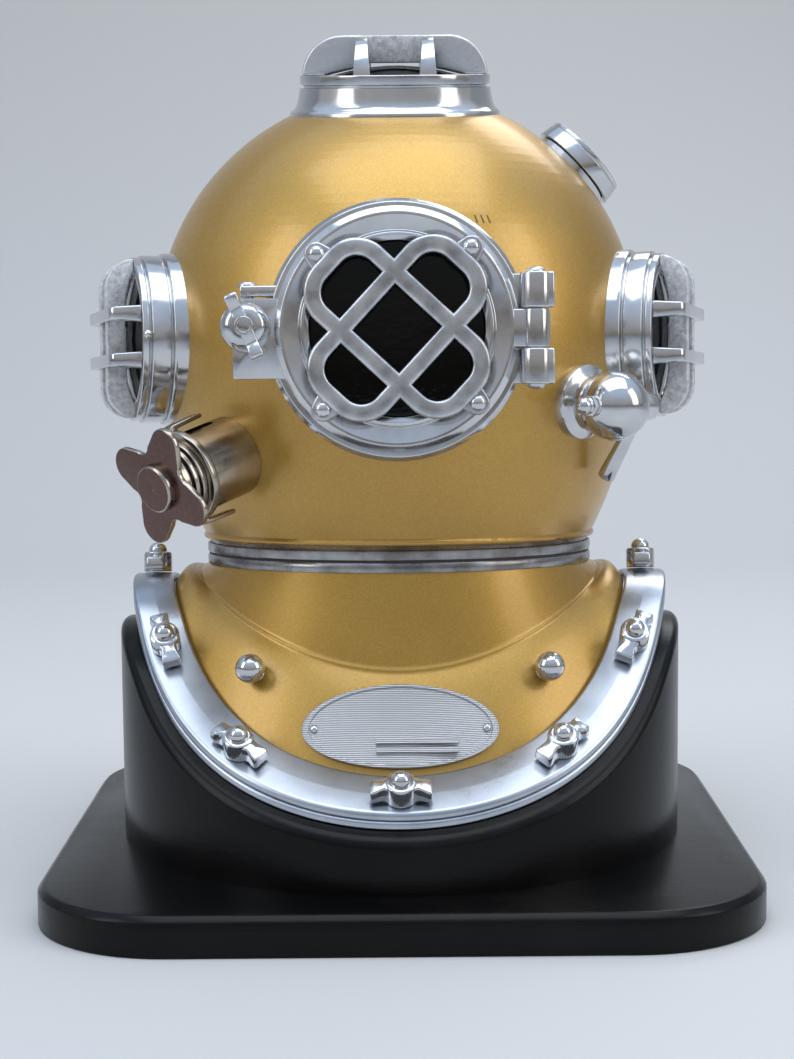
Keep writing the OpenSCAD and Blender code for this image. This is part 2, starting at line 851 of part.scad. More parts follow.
module hinge_pin() {
    half = hinge_len / 2;
    color(chrome) at_door() {
        upright(hinge_x, pin_z, -half, half, pin_r);
        for (s = [-1, 1])
            translate([hinge_x, s * half, pin_z]) rotate([-90 * s, 0, 0]) intersection() {
                translate([0, 0, -1.8]) sphere(r = pin_r + 2, $fn = 32);
                cylinder(r = pin_r + 3, h = pin_r + 2, $fn = 32);
            }
    }
}

module clasp_pin() {
    low = -15;
    high = lug_top + 1.5 + ear_t;
    color(chrome) at_door() {
        upright(-clasp_x, seat_reach - 8, low, high, pin_r);
        for (s = [-1, 1])
            translate([-clasp_x, s > 0 ? high : low, seat_reach - 8]) rotate([-90 * s, 0, 0]) intersection() {
                translate([0, 0, -1.8]) sphere(r = pin_r + 2, $fn = 32);
                cylinder(r = pin_r + 3, h = pin_r + 2, $fn = 32);
            }
    }
}

module clasp_bolt() {
    eye_r = pin_r + 3.5;
    color(chrome) at_door() difference() {
        union() {
            upright(-clasp_x, seat_reach - 8, clasp_y - 5, clasp_y + 5, eye_r);
            translate([-clasp_x, clasp_y, seat_reach - 8]) cylinder(r = clasp_bolt_r, h = 23, $fn = 32);
        }
        upright(-clasp_x, seat_reach - 8, clasp_y - 6, clasp_y + 6, pin_r + screw_gap);
    }
}

module door_ring() {
    mid = knuckle_mid / 2;
    color(chrome) at_door() difference() {
        union() {
            rotate_extrude($fn = 180) polygon([
                [door_open_r, door_front - 3], [door_open_r + 3.4, door_front - 3],
                [door_open_r + 3.4, door_back], [door_r, door_back], [door_r, door_front - 3],
                [door_r - 1, door_front - 1], [door_r - 3, door_front], [door_r - 5, door_front],
                [door_open_r + 6, door_front - 2.6], [door_open_r + 4.5, door_front - 0.4],
                [door_open_r + 3, door_front], [door_open_r, door_front - 1.2]
            ]);
            upright(hinge_x, pin_z, -mid, mid, knuckle_r);
            translate([door_r - 4, -mid, door_back]) cube([hinge_x - door_r + 4, knuckle_mid, door_t]);
            translate([-clasp_x - 7.5, -lug_bottom, door_back]) cube([clasp_x - 56, lug_top + lug_bottom, 7]);
        }
        translate([0, 0, door_back - 1]) cylinder(r = door_open_r + 3.4, h = door_t - 2, $fn = 180);
        upright(hinge_x, pin_z, -mid - 1, mid + 1, pin_r + run_gap);
        translate([-clasp_x - 12, clasp_y - clasp_bolt_r - 1, door_back - 1])
            cube([12, 2 * clasp_bolt_r + 2, 12]);
        translate([-clasp_x, clasp_y, door_back - 1]) cylinder(r = clasp_bolt_r + 1, h = 12, $fn = 32);
        at_grille_screws() translate([0, 0, door_front - 5]) cylinder(r = 2 + screw_gap, h = 8, $fn = 24);
    }
}

module door_glass() {
    color("black") at_door() translate([0, 0, door_front - 3 - glass_t - 0.1])
        cylinder(r = door_open_r + 3.1, h = glass_t, $fn = 120);
}

module door_gasket() {
    color([0.1, 0.1, 0.1]) at_door() translate([0, 0, door_back]) difference() {
        cylinder(r = door_open_r + 3.1, h = door_t - 3 - glass_t - 0.15, $fn = 120);
        translate([0, 0, -1]) cylinder(r = door_open_r - 1, h = door_t, $fn = 120);
    }
}

module rounded_bar(l, w, r) {
    for (x = [-1, 1], y = [-1, 1])
        translate([x * (l / 2 - r), y * (w / 2 - r)]) circle(r = r, $fn = 64);
    square([l - 2 * r, w], center = true);
    square([l, w - 2 * r], center = true);
}

module loop_outline() {
    outer_r = 20;
    difference() {
        rounded_bar(loop_l, loop_w, outer_r);
        rounded_bar(loop_l - 2 * grille_bar, loop_w - 2 * grille_bar, outer_r - grille_bar);
    }
}

module at_grille_screws() {
    for (a = [45 : 90 : 315]) rotate([0, 0, a]) translate([grille_screw_r, 0, 0]) children();
}

module door_grille() {
    foot_t = 2.5;
    color(cast) at_door() difference() {
        union() {
            translate([0, 0, door_front + foot_t + 0.02]) linear_extrude(height = grille_t)
                for (a = [-45, 45]) rotate([0, 0, a]) loop_outline();
            translate([0, 0, door_front + 0.02]) linear_extrude(height = foot_t + 1)
                for (a = [45 : 90 : 315]) rotate([0, 0, a]) {
                    translate([grille_screw_r, 0]) circle(r = 6, $fn = 48);
                    translate([loop_l / 2 - 4, -7.5]) square([grille_screw_r - loop_l / 2 + 4, 15]);
                }
        }
        at_grille_screws() translate([0, 0, door_front - 1]) cylinder(r = 2 + screw_gap, h = 9, $fn = 24);
    }
}

module grille_screws() {
    color(chrome) at_door() at_grille_screws() {
        translate([0, 0, door_front - 4.8]) cylinder(r = 2, h = 9.5, $fn = 24);
        translate([0, 0, door_front + 3.62]) intersection() {
            translate([0, 0, -0.4]) sphere(r = 4.2, $fn = 32);
            cylinder(r = 6, h = 6, $fn = 32);
        }
    }
}

module clasp_nut() {
    base = door_back + 7 + rest_gap;
    bore = clasp_bolt_r + 0.7;
    color(chrome) at_door() translate([-clasp_x, clasp_y, base]) difference() {
        union() {
            cylinder(r = clasp_nut_r, h = 3, $fn = 64);
            translate([0, 0, 3]) intersection() {
                sphere(r = clasp_nut_r, $fn = 64);
                cylinder(r = clasp_nut_r + 1, h = clasp_nut_r - 3.5, $fn = 64);
            }
            rotate([0, 0, 114]) translate([0, 0, 3]) difference() {
                translate([-clasp_span / 2, -3.8, 1.5]) cube([clasp_span, 7.6, clasp_nut_r - 3]);
                translate([0, 0, -1]) difference() {
                    cylinder(r = clasp_span, h = 5.5, $fn = 64);
                    translate([0, 0, -1]) cylinder(r = clasp_nut_r + 0.5, h = 8, $fn = 64);
                }
            }
        }
        translate([0, 0, -1]) cylinder(r = bore, h = 11, $fn = 48);
        translate([0, 0, -1]) cylinder(r = 2.2, h = 40, $fn = 32);
    }
}

// Exhaust valve, in its own frame: origin on the dome's wall, Z outward.

module at_exhaust() {
    at_port(-exhaust_turn, exhaust_level) translate([0, 0, wall_r(exhaust_level)])
        rotate([exhaust_dip, 0, 0]) children();
}

module exhaust_housing() {
    wall = 2.5;
    slot_r = 4;
    slot_l = 14;
    color(chrome) difference() {
        at_exhaust() difference() {
            translate([0, 0, -housing_sink]) cylinder(r = exhaust_r, h = exhaust_len + housing_sink);
            translate([0, 0, disc_z - rest_gap]) cylinder(r = exhaust_r - wall, h = exhaust_len);
            translate([0, 0, -housing_sink - 1]) cylinder(r = exhaust_r - 9, h = exhaust_len);
            for (a = [90, 270])
                rotate([0, 0, a]) translate([0, -slot_r, 12]) {
                    cube([exhaust_r + 5, 2 * slot_r, slot_l]);
                    for (z = [0, slot_l]) translate([0, slot_r, z]) rotate([0, 90, 0])
                        cylinder(r = slot_r, h = exhaust_r + 5, $fn = 32);
                }
        }
        at_dome() dome_seat_form();
    }
}

module exhaust_collar() {
    collar_w = 5;
    arm = [3.5, 10, 20];
    color(chrome) at_exhaust() {
        translate([0, 0, exhaust_len]) difference() {
            cylinder(r = exhaust_r + 3.5, h = collar_w);
            translate([0, 0, -1]) cylinder(r = exhaust_r - 5, h = collar_w + 2);
        }
        for (a = [90, 270])
            rotate([0, 0, a]) translate([exhaust_r + 2, -arm[1] / 2, exhaust_len - arm[2]])
                cube([arm[0], arm[1], arm[2] + 2]);
    }
}

module exhaust_cap() {
    color(chrome) at_exhaust() translate([0, 0, exhaust_len + 5]) rotate_extrude() polygon([
        [stem_r + run_gap, -3], [exhaust_r - 5.2, -3], [exhaust_r - 5.2, 0], [exhaust_r - 1, 0],
        [exhaust_r - 1, 3.5], [exhaust_r - 3.5, 4], [exhaust_r - 3.5, 6.5], [exhaust_r - 6, 7],
        [exhaust_r - 6, cap_h], [stem_r + run_gap, cap_h]
    ]);
}

module exhaust_wheel() {
    lobe_r = 10.5;
    notch_r = 7;
    wheel_t = 3.5;
    color(chrome) at_exhaust() translate([0, 0, wheel_z]) rotate([0, 0, 4]) {
        linear_extrude(height = wheel_t) difference() {
            union() {
                circle(r = wheel_r * 0.56);
                for (a = [0 : 90 : 270]) rotate([0, 0, a]) {
                    translate([wheel_r - lobe_r, 0]) circle(r = lobe_r, $fn = 48);
                    translate([0, -lobe_r]) square([wheel_r - lobe_r, 2 * lobe_r]);
                }
            }
            for (a = [45 : 90 : 315]) rotate([0, 0, a])
                translate([wheel_r * 0.56 + notch_r - 2, 0]) circle(r = notch_r, $fn = 48);
        }
        translate([0, 0, wheel_t - 0.01]) cylinder(r1 = 14, r2 = 13.5, h = 5);
    }
}

module exhaust_spindle() {
    color(chrome) at_exhaust() translate([0, 0, exhaust_len - 4])
        cylinder(r = stem_r, h = wheel_z - exhaust_len + 4 - 0.02);
}

module exhaust_disc() {
    color(chrome) at_exhaust() {
        translate([0, 0, disc_z]) cylinder(r = exhaust_r - 5, h = disc_t);
        translate([0, 0, -24]) cylinder(r = 3, h = 24 + disc_z + 0.01, $fn = 32);
        translate([0, 0, -30]) cylinder(r = 8, h = 6.01, $fn = 48);
        translate([0, 0, disc_z + disc_t]) cylinder(r = 3, h = 6, $fn = 32);
    }
}

module exhaust_spring() {
    low = disc_z + disc_t + 0.05;
    color("gray") at_exhaust() translate([0, 0, low]) difference() {
        cylinder(r = 9, h = exhaust_len + 2 - low - 0.05, $fn = 48);
        translate([0, 0, -1]) cylinder(r = 7.6, h = exhaust_len, $fn = 48);
    }
}

// Spitcock, in its own frame: origin on the dome's wall, Z outward. The plug lies along X.

module at_spitcock() {
    at_port(spit_turn, spit_level) translate([0, 0, wall_r(spit_level)]) rotate([spit_dip, 0, 0]) children();
}

module spitcock_body() {
    flange_out = 4.5;
    barrel_r = 15.5;
    color(chrome) difference() {
        at_spitcock() difference() {
            union() {
                translate([0, 0, -spit_sink]) cylinder(r = spit_foot_r, h = spit_sink + flange_out);
                translate([0, 0, flange_out]) cylinder(r1 = spit_foot_r - 2, r2 = barrel_r, h = 2);
                cylinder(r1 = barrel_r - 1, r2 = spit_ball_r * 0.9, h = spit_reach - 3);
                translate([0, 0, spit_reach]) sphere(r = spit_ball_r, $fn = 72);
            }
            translate([0, 0, spit_reach]) rotate([0, 90, 0])
                cylinder(r = plug_r + run_gap, h = 60, center = true, $fn = 48);
            translate([0, 0, -spit_sink - 1]) cylinder(r = spit_bore_r, h = 80, $fn = 32);
        }
        at_dome() dome_seat_form();
    }
}

module spitcock_plug() {
    half = spit_ball_r + 1;
    color(chrome) at_spitcock() translate([0, 0, spit_reach]) difference() {
        rotate([0, 90, 0]) translate([0, 0, -half]) cylinder(r = plug_r, h = 2 * half, $fn = 48);
        rotate([90, 0, 0]) cylinder(r = spit_bore_r, h = 30, center = true, $fn = 32);
    }
}

module spitcock_lever() {
    hub_r = 8.5;
    hub_h = 11;
    color(chrome) at_spitcock() translate([spit_ball_r + 1 + 0.02, 0, spit_reach]) {
        rotate([0, 90, 0]) cylinder(r = hub_r, h = hub_h, $fn = 48);
        translate([hub_h / 2, 0, 0]) rotate([lever_lean, 0, 0]) rotate([90, 0, 0])
            translate([0, 0, hub_r - 2]) cylinder(r1 = 3.6, r2 = 5.2, h = lever_len - hub_r + 2, $fn = 48);
    }
}

module spitcock_acorn() {
    color(chrome) at_spitcock() translate([-spit_ball_r - 1.02, 0, spit_reach]) rotate([0, -90, 0]) {
        cylinder(r = 6.5, h = 4, $fn = 6);
        translate([0, 0, 4]) cylinder(r = 4.6, h = 1.6, $fn = 32);
        translate([0, 0, 7.2]) sphere(r = 5, $fn = 32);
    }
}

// Telephone cup and rear elbows

cup_r = 18;
cup_bore_r = 13.5;
cup_sink = 14;

module at_phone_cup() {
    at_dome() rotate([0, 0, 92]) rotate([47, 0, 0]) translate([0, 0, dome_r]) children();
}

module phone_cup() {
    color(chrome) difference() {
        at_phone_cup() difference() {
            translate([0, 0, -cup_sink]) cylinder(r = cup_r, h = cup_sink + 8);
            translate([0, 0, -cup_sink - 1]) cylinder(r = cup_bore_r, h = cup_sink + 3);
        }
        at_dome() dome_seat_form();
    }
}

module phone_cap() {
    color(chrome) at_phone_cup() rotate_extrude() polygon([
        [cup_r + 0.1, 4], [phone_cap_r, 4], [phone_cap_r, 9], [phone_cap_r - 0.8, 9.6],
        [phone_cap_r - 0.8, 10.4], [phone_cap_r - 1, 11], [phone_cap_r - 2.7, 18], [phone_cap_r - 4.5, 19],
        [0, 19], [0, 8.1], [cup_r + 0.1, 8.1]
    ]);
}

module at_elbow(side) {
    at_dome() rotate([0, 0, 180 - side * 32]) rotate([72, 0, 0]) translate([0, 0, dome_r]) children();
}

module elbow() {
    difference() {
        union() {
            translate([0, 0, -10]) cylinder(r = elbow_r + 9, h = 15);
            translate([0, 0, 4]) cylinder(r1 = elbow_r + 4, r2 = elbow_r + 1, h = 5);
            cylinder(r = elbow_r - 0.4, h = 16.5);
            at_bend() rotate_extrude(angle = 70) translate([elbow_bend, 0]) circle(r = elbow_r - 1);
            elbow_mouth() translate([0, 0, -0.5]) cylinder(r = elbow_r, h = 14.5);
        }
        translate([0, 0, -20]) cylinder(r = elbow_bore_r, h = 36.5);
        at_bend() rotate_extrude(angle = 70) translate([elbow_bend, 0]) circle(r = elbow_bore_r - 0.5);
        elbow_mouth() translate([0, 0, -0.5]) cylinder(r = elbow_bore_r, h = 16);
    }
}

module at_bend() {
    translate([0, 0, 16]) rotate([90, 0, 0]) translate([-elbow_bend, 0, 0]) children();
}

module elbow_mouth() {
    at_bend() rotate([0, 0, 70]) translate([elbow_bend, 0, 0]) rotate([-90, 0, 0]) children();
}

module rear_elbow(side) {
    difference() {
        at_elbow(side) rotate([0, 0, 90]) elbow();
        at_dome() dome_seat_form();
    }
}

module air_elbow() {
    color(chrome) rear_elbow(1);
}

module phone_elbow() {
    color(chrome) rear_elbow(-1);
}

stand_board();
stand_plinth();
stand_screws();
breastplate_flange();
breastplate_shell();
neck_ring();
neck_gasket();
braile_front();
braile_rear();
braile_studs();
braile_nuts();
ball_posts();
oval_plate();
plate_rivets();
bonnet_shell();
bonnet_ring();
top_port_seat();
top_port_glass();
top_port_guard();
left_port_seat();
left_port_glass();
left_port_guard();
right_port_seat();
right_port_glass();
right_port_guard();
door_seat();
hinge_pin();
clasp_pin();
clasp_bolt();
door_ring();
door_glass();
door_gasket();
door_grille();
grille_screws();
clasp_nut();
exhaust_housing();
exhaust_collar();
exhaust_cap();
exhaust_wheel();
exhaust_spindle();
exhaust_disc();
exhaust_spring();
spitcock_body();
spitcock_plug();
spitcock_lever();
spitcock_acorn();
phone_cup();
phone_cap();
air_elbow();
phone_elbow();
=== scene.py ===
import math

import bmesh
import bpy
from mathutils import Matrix, Vector


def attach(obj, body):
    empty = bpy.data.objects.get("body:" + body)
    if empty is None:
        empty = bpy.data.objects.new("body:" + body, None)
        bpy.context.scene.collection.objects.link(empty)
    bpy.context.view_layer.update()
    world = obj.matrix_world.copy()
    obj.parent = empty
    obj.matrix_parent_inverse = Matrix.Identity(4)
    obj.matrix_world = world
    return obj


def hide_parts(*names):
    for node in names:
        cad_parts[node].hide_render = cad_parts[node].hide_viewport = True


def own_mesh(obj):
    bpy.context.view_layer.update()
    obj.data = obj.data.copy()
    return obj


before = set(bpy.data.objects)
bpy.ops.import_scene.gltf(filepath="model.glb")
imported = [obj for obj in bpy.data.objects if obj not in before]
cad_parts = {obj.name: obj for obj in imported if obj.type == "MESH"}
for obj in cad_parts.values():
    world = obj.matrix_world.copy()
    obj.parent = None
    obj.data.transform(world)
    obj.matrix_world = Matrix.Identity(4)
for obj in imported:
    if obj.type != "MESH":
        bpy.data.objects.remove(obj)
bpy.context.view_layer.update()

# The room
# A pale floor that curves up into a pale wall, lit by large soft lamps, with the camera at the
# height and distance from which the helmet was photographed.
mm = 0.001
scene = bpy.context.scene
scene.view_settings.view_transform = "Standard"

camera_back, camera_up, camera_dip, camera_roll = 1259.5, 338.1, 5.95, 0.5
camera_data = bpy.data.cameras.new("camera")
camera_data.lens = 69.45
camera_data.sensor_width = 36
camera = bpy.data.objects.new("camera", camera_data)
camera.location = (0, -camera_back * mm, camera_up * mm)
camera.rotation_euler = (math.radians(90 - camera_dip), math.radians(camera_roll), 0)
scene.collection.objects.link(camera)
scene.camera = camera


def new_material(name):
    """A material with an empty node sheet and one shader, and the tools to add to it."""
    material = bpy.data.materials.new(name)
    material.use_nodes = True
    sheet = material.node_tree
    shader = sheet.nodes["Principled BSDF"]
    return material, sheet, shader


def node(sheet, kind, **values):
    """A node of that kind; values are its properties, or its inputs where it has no such property."""
    made = sheet.nodes.new("ShaderNode" + kind)
    for key, value in values.items():
        if hasattr(made, key):
            setattr(made, key, value)
        else:
            made.inputs[key.replace("_", " ").title()].default_value = value
    return made


def wire(sheet, *steps):
    """Joins sockets in pairs: from, to, from, to."""
    for start, end in zip(steps[0::2], steps[1::2]):
        sheet.links.new(start, end)


def two_tone(sheet, low, high, low_at=0, high_at=1):
    """A ramp from one colour to another, which lie at low_at and high_at."""
    made = node(sheet, "ValToRGB")
    first, last = made.color_ramp.elements
    first.position, first.color = low_at, (*low, 1)
    last.position, last.color = high_at, (*high, 1)
    return made


def skin(name, rings, place=Matrix(), wrap=True, around=True, caps=True, crease=32):
    """A mesh object through rings of points in millimetres. wrap joins the last ring to the first,
    around closes each ring and caps fills the two end rings. Doubled points are merged, the faces
    are turned outward and shaded smooth, and edges sharper than crease degrees stay sharp."""
    count, rows = len(rings[0]), len(rings)
    points = [Vector(p) * mm for ring in rings for p in ring]
    faces = []
    for j in range(rows if wrap else rows - 1):
        for i in range(count if around else count - 1):
            a, b = j * count + i, j * count + (i + 1) % count
            c, d = ((j + 1) % rows) * count + (i + 1) % count, ((j + 1) % rows) * count + i
            faces.append((a, b, c, d))
    if caps and not wrap:
        faces.append(tuple(reversed(range(count))))
        faces.append(tuple(range((rows - 1) * count, rows * count)))
    mesh = bpy.data.meshes.new(name)
    mesh.from_pydata(points, [], faces)
    work = bmesh.new()
    work.from_mesh(mesh)
    bmesh.ops.remove_doubles(work, verts=work.verts, dist=2e-6)
    bmesh.ops.dissolve_degenerate(work, dist=1e-7, edges=work.edges)
    bmesh.ops.recalc_face_normals(work, faces=work.faces)
    work.to_mesh(mesh)
    work.free()
    mesh.polygons.foreach_set("use_smooth", [True] * len(mesh.polygons))
    mesh.set_sharp_from_angle(angle=math.radians(crease))
    made = bpy.data.objects.new(name, mesh)
    made.matrix_world = place
    scene.collection.objects.link(made)
    return made


floor_half, sweep_start, sweep_r, wall_top = 12000, 1500, 900, 3600
floor_profile = [(-floor_half, 0), (-2600, 0), (sweep_start, 0)]
for degrees in range(6, 91, 6):
    a = math.radians(degrees)
    floor_profile.append((sweep_start + sweep_r * math.sin(a), sweep_r - sweep_r * math.cos(a)))
floor_profile.append((sweep_start + sweep_r, wall_top))
floor_edges = [[(x, y, z) for y, z in floor_profile] for x in (-floor_half, floor_half)]
floor = skin("studio_floor", floor_edges, wrap=False, around=False, caps=False)
floor_paint, sheet, shader = new_material("pale_floor")
shader.inputs["Roughness"].default_value = 0.8
screed = node(sheet, "TexNoise", Scale=3, Detail=3)
screed_tone = two_tone(sheet, (0.60, 0.59, 0.575), (0.64, 0.63, 0.615))
wire(sheet, screed.outputs["Fac"], screed_tone.inputs["Fac"],
     screed_tone.outputs["Color"], shader.inputs["Base Color"])
floor.data.materials.append(floor_paint)

world = bpy.data.worlds.new("soft_sky")
world.use_nodes = True
sheet = world.node_tree
direction = node(sheet, "TexCoord")
parts_of = node(sheet, "SeparateXYZ")
sky = two_tone(sheet, (0.15, 0.12, 0.095), (0.56, 0.70, 0.92), 0.02, 0.75)
haze_band = sky.color_ramp.elements.new(0.13)
haze_band.color = (0.36, 0.345, 0.33, 1)
ray = node(sheet, "LightPath")
backdrop = node(sheet, "MixRGB")
backdrop.inputs["Color2"].default_value = (0.48, 0.51, 0.55, 1)
wire(sheet, direction.outputs["Generated"], parts_of.inputs["Vector"],
     parts_of.outputs["Z"], sky.inputs["Fac"],
     ray.outputs["Is Camera Ray"], backdrop.inputs["Fac"],
     sky.outputs["Color"], backdrop.inputs["Color1"],
     backdrop.outputs["Color"], sheet.nodes["Background"].inputs["Color"])
sheet.nodes["Background"].inputs["Strength"].default_value = 1.0
scene.world = world


def softbox(name, where, aim, width, height, watts, colour=(1, 1, 1)):
    """A rectangular lamp at where (metres) that faces aim."""
    lamp = bpy.data.lights.new(name, "AREA")
    lamp.shape = "RECTANGLE"
    lamp.size, lamp.size_y = width, height
    lamp.energy = watts
    lamp.color = colour
    made = bpy.data.objects.new(name, lamp)
    made.location = where
    made.rotation_euler = (Vector(aim) - Vector(where)).to_track_quat("-Z", "Y").to_euler()
    scene.collection.objects.link(made)


softbox("overhead_box", (0.1, -0.35, 2.3), (0, 0, 0.25), 2.2, 1.7, 26, (0.93, 0.97, 1.0))
softbox("left_box", (-2.1, -1.2, 1.5), (0, 0, 0.3), 0.9, 1.9, 15, (0.95, 0.97, 1.0))
softbox("right_box", (2.1, -0.9, 1.3), (0, 0, 0.3), 0.9, 1.8, 13, (1.0, 0.98, 0.95))
softbox("back_box", (0.7, 1.6, 1.9), (0, 0, 0.3), 1.2, 0.8, 9)

# Stand board
# A square of wood about an inch thick with wide round corners and a small chamfer round its top
# edge, brushed with black lacquer that shows a little of the grain and is rubbed thin in places.
board_half, board_t, board_corner, chamfer = 206, 23, 80, 3.5


def rounded_square(half, corner, z, steps=14):
    """One turn round a square with round corners, at height z."""
    ring = []
    for k, (sx, sy) in enumerate([(1, 1), (-1, 1), (-1, -1), (1, -1)]):
        for i in range(steps + 1):
            a = math.pi / 2 * (k + i / steps)
            ring.append((sx * (half - corner) + corner * math.cos(a),
                         sy * (half - corner) + corner * math.sin(a), z))
    return ring


edge = [(1.2, 0), (0.3, 0.3), (0, 1.2), (0, board_t - chamfer - 0.8), (0.25, board_t - chamfer),
        (0.8, board_t - chamfer + 0.7), (chamfer - 0.8, board_t - 0.7), (chamfer, board_t - 0.2),
        (chamfer + 0.9, board_t)]
turns = [rounded_square(board_half - inset, board_corner - inset, z) for inset, z in edge]
stand_board = skin("stand_board_wood", turns, wrap=False, crease=60)


def between(sheet, low, high, from_low=0, from_high=1):
    """Spreads a value that runs from from_low to from_high over low to high."""
    made = node(sheet, "MapRange")
    for socket, value in (("From Min", from_low), ("From Max", from_high),
                          ("To Min", low), ("To Max", high)):
        made.inputs[socket].default_value = value
    return made


black_lacquer, sheet, shader = new_material("black_lacquer")
shader.inputs["Specular IOR Level"].default_value = 0.18
surface = node(sheet, "TexCoord")
grain_map = node(sheet, "Mapping", Scale=(9, 150, 150))
grain = node(sheet, "TexNoise", Scale=2.2, Detail=7, Roughness=0.62)
blotch = node(sheet, "TexNoise", Scale=14, Detail=4)
rough_range = between(sheet, 0.16, 0.34)
rub = two_tone(sheet, (0.0025, 0.0024, 0.0026), (0.008, 0.007, 0.006), 0.5, 0.78)
grain_bump = node(sheet, "Bump", Strength=0.22, Distance=0.0006)
wire(sheet, surface.outputs["Object"], grain_map.inputs["Vector"],
     grain_map.outputs["Vector"], grain.inputs["Vector"],
     surface.outputs["Object"], blotch.inputs["Vector"],
     blotch.outputs["Fac"], rough_range.inputs["Value"],
     rough_range.outputs["Result"], shader.inputs["Roughness"],
     blotch.outputs["Fac"], rub.inputs["Fac"],
     rub.outputs["Color"], shader.inputs["Base Color"],
     grain.outputs["Fac"], grain_bump.inputs["Height"],
     grain_bump.outputs["Normal"], shader.inputs["Normal"])
stand_board.data.materials.append(black_lacquer)
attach(stand_board, "stand")
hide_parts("stand_board")

# Plinth
# A round wooden collar glued up and turned, its top cut to the saddle shape of the breastplate
# and eased over by hand, in the same black lacquer as the board.
plinth_r, plinth_in, plinth_side_h, ridge_h = 172, 154, 131, 149
ridge_r, hollow_r, saddle_slope = 69, 457, math.radians(48.2)
ridge_z = board_t + ridge_h - ridge_r
hollow_y = (ridge_r + hollow_r) * math.sin(saddle_slope)
hollow_z = ridge_z + (ridge_r + hollow_r) * math.cos(saddle_slope)


def saddle_z(y, lift):
    """Height of the saddle surface, raised by lift, at a distance y from the ridge."""
    if abs(y) <= (ridge_r + lift) * math.sin(saddle_slope):
        return ridge_z + math.sqrt((ridge_r + lift) ** 2 - y * y)
    return hollow_z - math.sqrt((hollow_r - lift) ** 2 - (hollow_y - abs(y)) ** 2)


def on_saddle(angle, radius, lift):
    """A point on the raised saddle, angle in degrees round from the front."""
    x, y = radius * math.sin(math.radians(angle)), -radius * math.cos(math.radians(angle))
    return (x, y, saddle_z(y, lift))


def brow_z(y):
    """Height of the plinth's top: the saddle, but a wide rounded brow in place of its ridge."""
    brow_r, brow_end = 110, 76
    if abs(y) > brow_end:
        return saddle_z(y, 0)
    return min(saddle_z(y, 0), board_t + plinth_side_h - brow_r + math.sqrt(brow_r ** 2 - y * y))


ease, plinth_steps = 4.5, 240
arc = [math.radians(degrees) for degrees in (90, 70, 50, 30, 12, 0)]
top = [(plinth_r - ease + ease * math.sin(a), ease * (1 - math.cos(a))) for a in arc]
top += [(plinth_in + ease - ease * math.sin(a), ease * (1 - math.cos(a))) for a in reversed(arc)]
rings = []
for step in range(plinth_steps):
    a = math.radians(step * 360 / plinth_steps)
    ring = [(plinth_in * math.sin(a), -plinth_in * math.cos(a), board_t),
            (plinth_r * math.sin(a), -plinth_r * math.cos(a), board_t)]
    for r, drop in top:
        x, y = r * math.sin(a), -r * math.cos(a)
        ring.append((x, y, brow_z(y) - drop))
    rings.append(ring)
stand_plinth = skin("stand_plinth_wood", rings, crease=60)
stand_plinth.data.materials.append(black_lacquer)
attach(stand_plinth, "stand")
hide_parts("stand_plinth")

screw_steel, sheet, shader = new_material("screw_steel")
shader.inputs["Base Color"].default_value = (0.42, 0.41, 0.40, 1)
shader.inputs["Metallic"].default_value = 1
speck = node(sheet, "TexNoise", Scale=900, Detail=3)
speck_range = between(sheet, 0.28, 0.55)
wire(sheet, speck.outputs["Fac"], speck_range.inputs["Value"],
     speck_range.outputs["Result"], shader.inputs["Roughness"])


def coat_solid(name, finish):
    """Gives a solid of the source, which shows as it is, its finish."""
    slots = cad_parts[name].data.materials
    slots.clear()
    slots.append(finish)


coat_solid("stand_screws", screw_steel)

# Breastplate shell
# Sheet metal beaten to the shoulders: it rises from the flange, breaks over a soft crease and
# runs up as a collar to the neck ring. It is sprayed with metallic gold paint, inside and out.
braile_in, flange_top, shell_wall = 139, 4.0, 2.5
neck_back, neck_z, neck_lean = 18.5, board_t + 170.5, math.radians(2.9)
neck_r, neck_band = 119.5, 7.5
crease_r, crease_h, crease_drop, rear_inset, rear_rise = 125, board_t + 160, 46, 3.5, 14


def crease_point(a, r):
    """A point of the crease, which lies lower in front than behind."""
    rear = max(0, -math.cos(a))
    reach = r - rear_inset * rear
    return Vector((reach * math.sin(a), neck_back - reach * math.cos(a),
                   crease_h - (crease_drop - rear_rise * rear) * math.cos(a) ** 2))


def neck_point(a, r, up):
    """A point on the leaning neck, up along its axis from the washer."""
    return Vector((r * math.sin(a),
                   neck_back - r * math.cos(a) * math.cos(neck_lean) + up * math.sin(neck_lean),
                   neck_z + r * math.cos(a) * math.sin(neck_lean) + up * math.cos(neck_lean)))


def shell_point(angle, row, inset):
    """A point of the shell: angle in degrees from the front, row 0 at the flange, 1 at the crease,
    2 at the neck ring, and inset from its outside."""
    a = math.radians(angle)
    foot = Vector(on_saddle(angle, braile_in - 0.6 - inset, flange_top + 0.15))
    bend, rim = crease_point(a, crease_r - inset), neck_point(a, neck_r - 1.5 - inset, -neck_band)
    if row > 1:
        return bend.lerp(rim, row - 1)
    swell = Vector((0, 0, 5 * math.sin(math.pi * row)))
    return foot.lerp(bend, row) + swell * (0.85 if inset > 0 else 1)


bead_stand, bead_width, shell_steps = 0.9, 0.022, 180
outer_rows = [0, 0.06, 0.12, 0.2, 0.3, 0.4, 0.5, 0.6, 0.7, 0.78, 0.85, 0.9, 0.94, 0.965, 0.98, 0.99, 1,
              1.01, 1.022, 1.04, 1.06, 1.09, 1.14, 1.22, 1.32, 1.45, 1.6, 1.75, 1.9, 2]
inner_rows = [2, 1.7, 1.4, 1.15, 1, 0.9, 0.75, 0.5, 0.25, 0]


def bead(row):
    """How far the crease's soft bead stands out."""
    return bead_stand * math.exp(-((row - 1) / bead_width) ** 2)


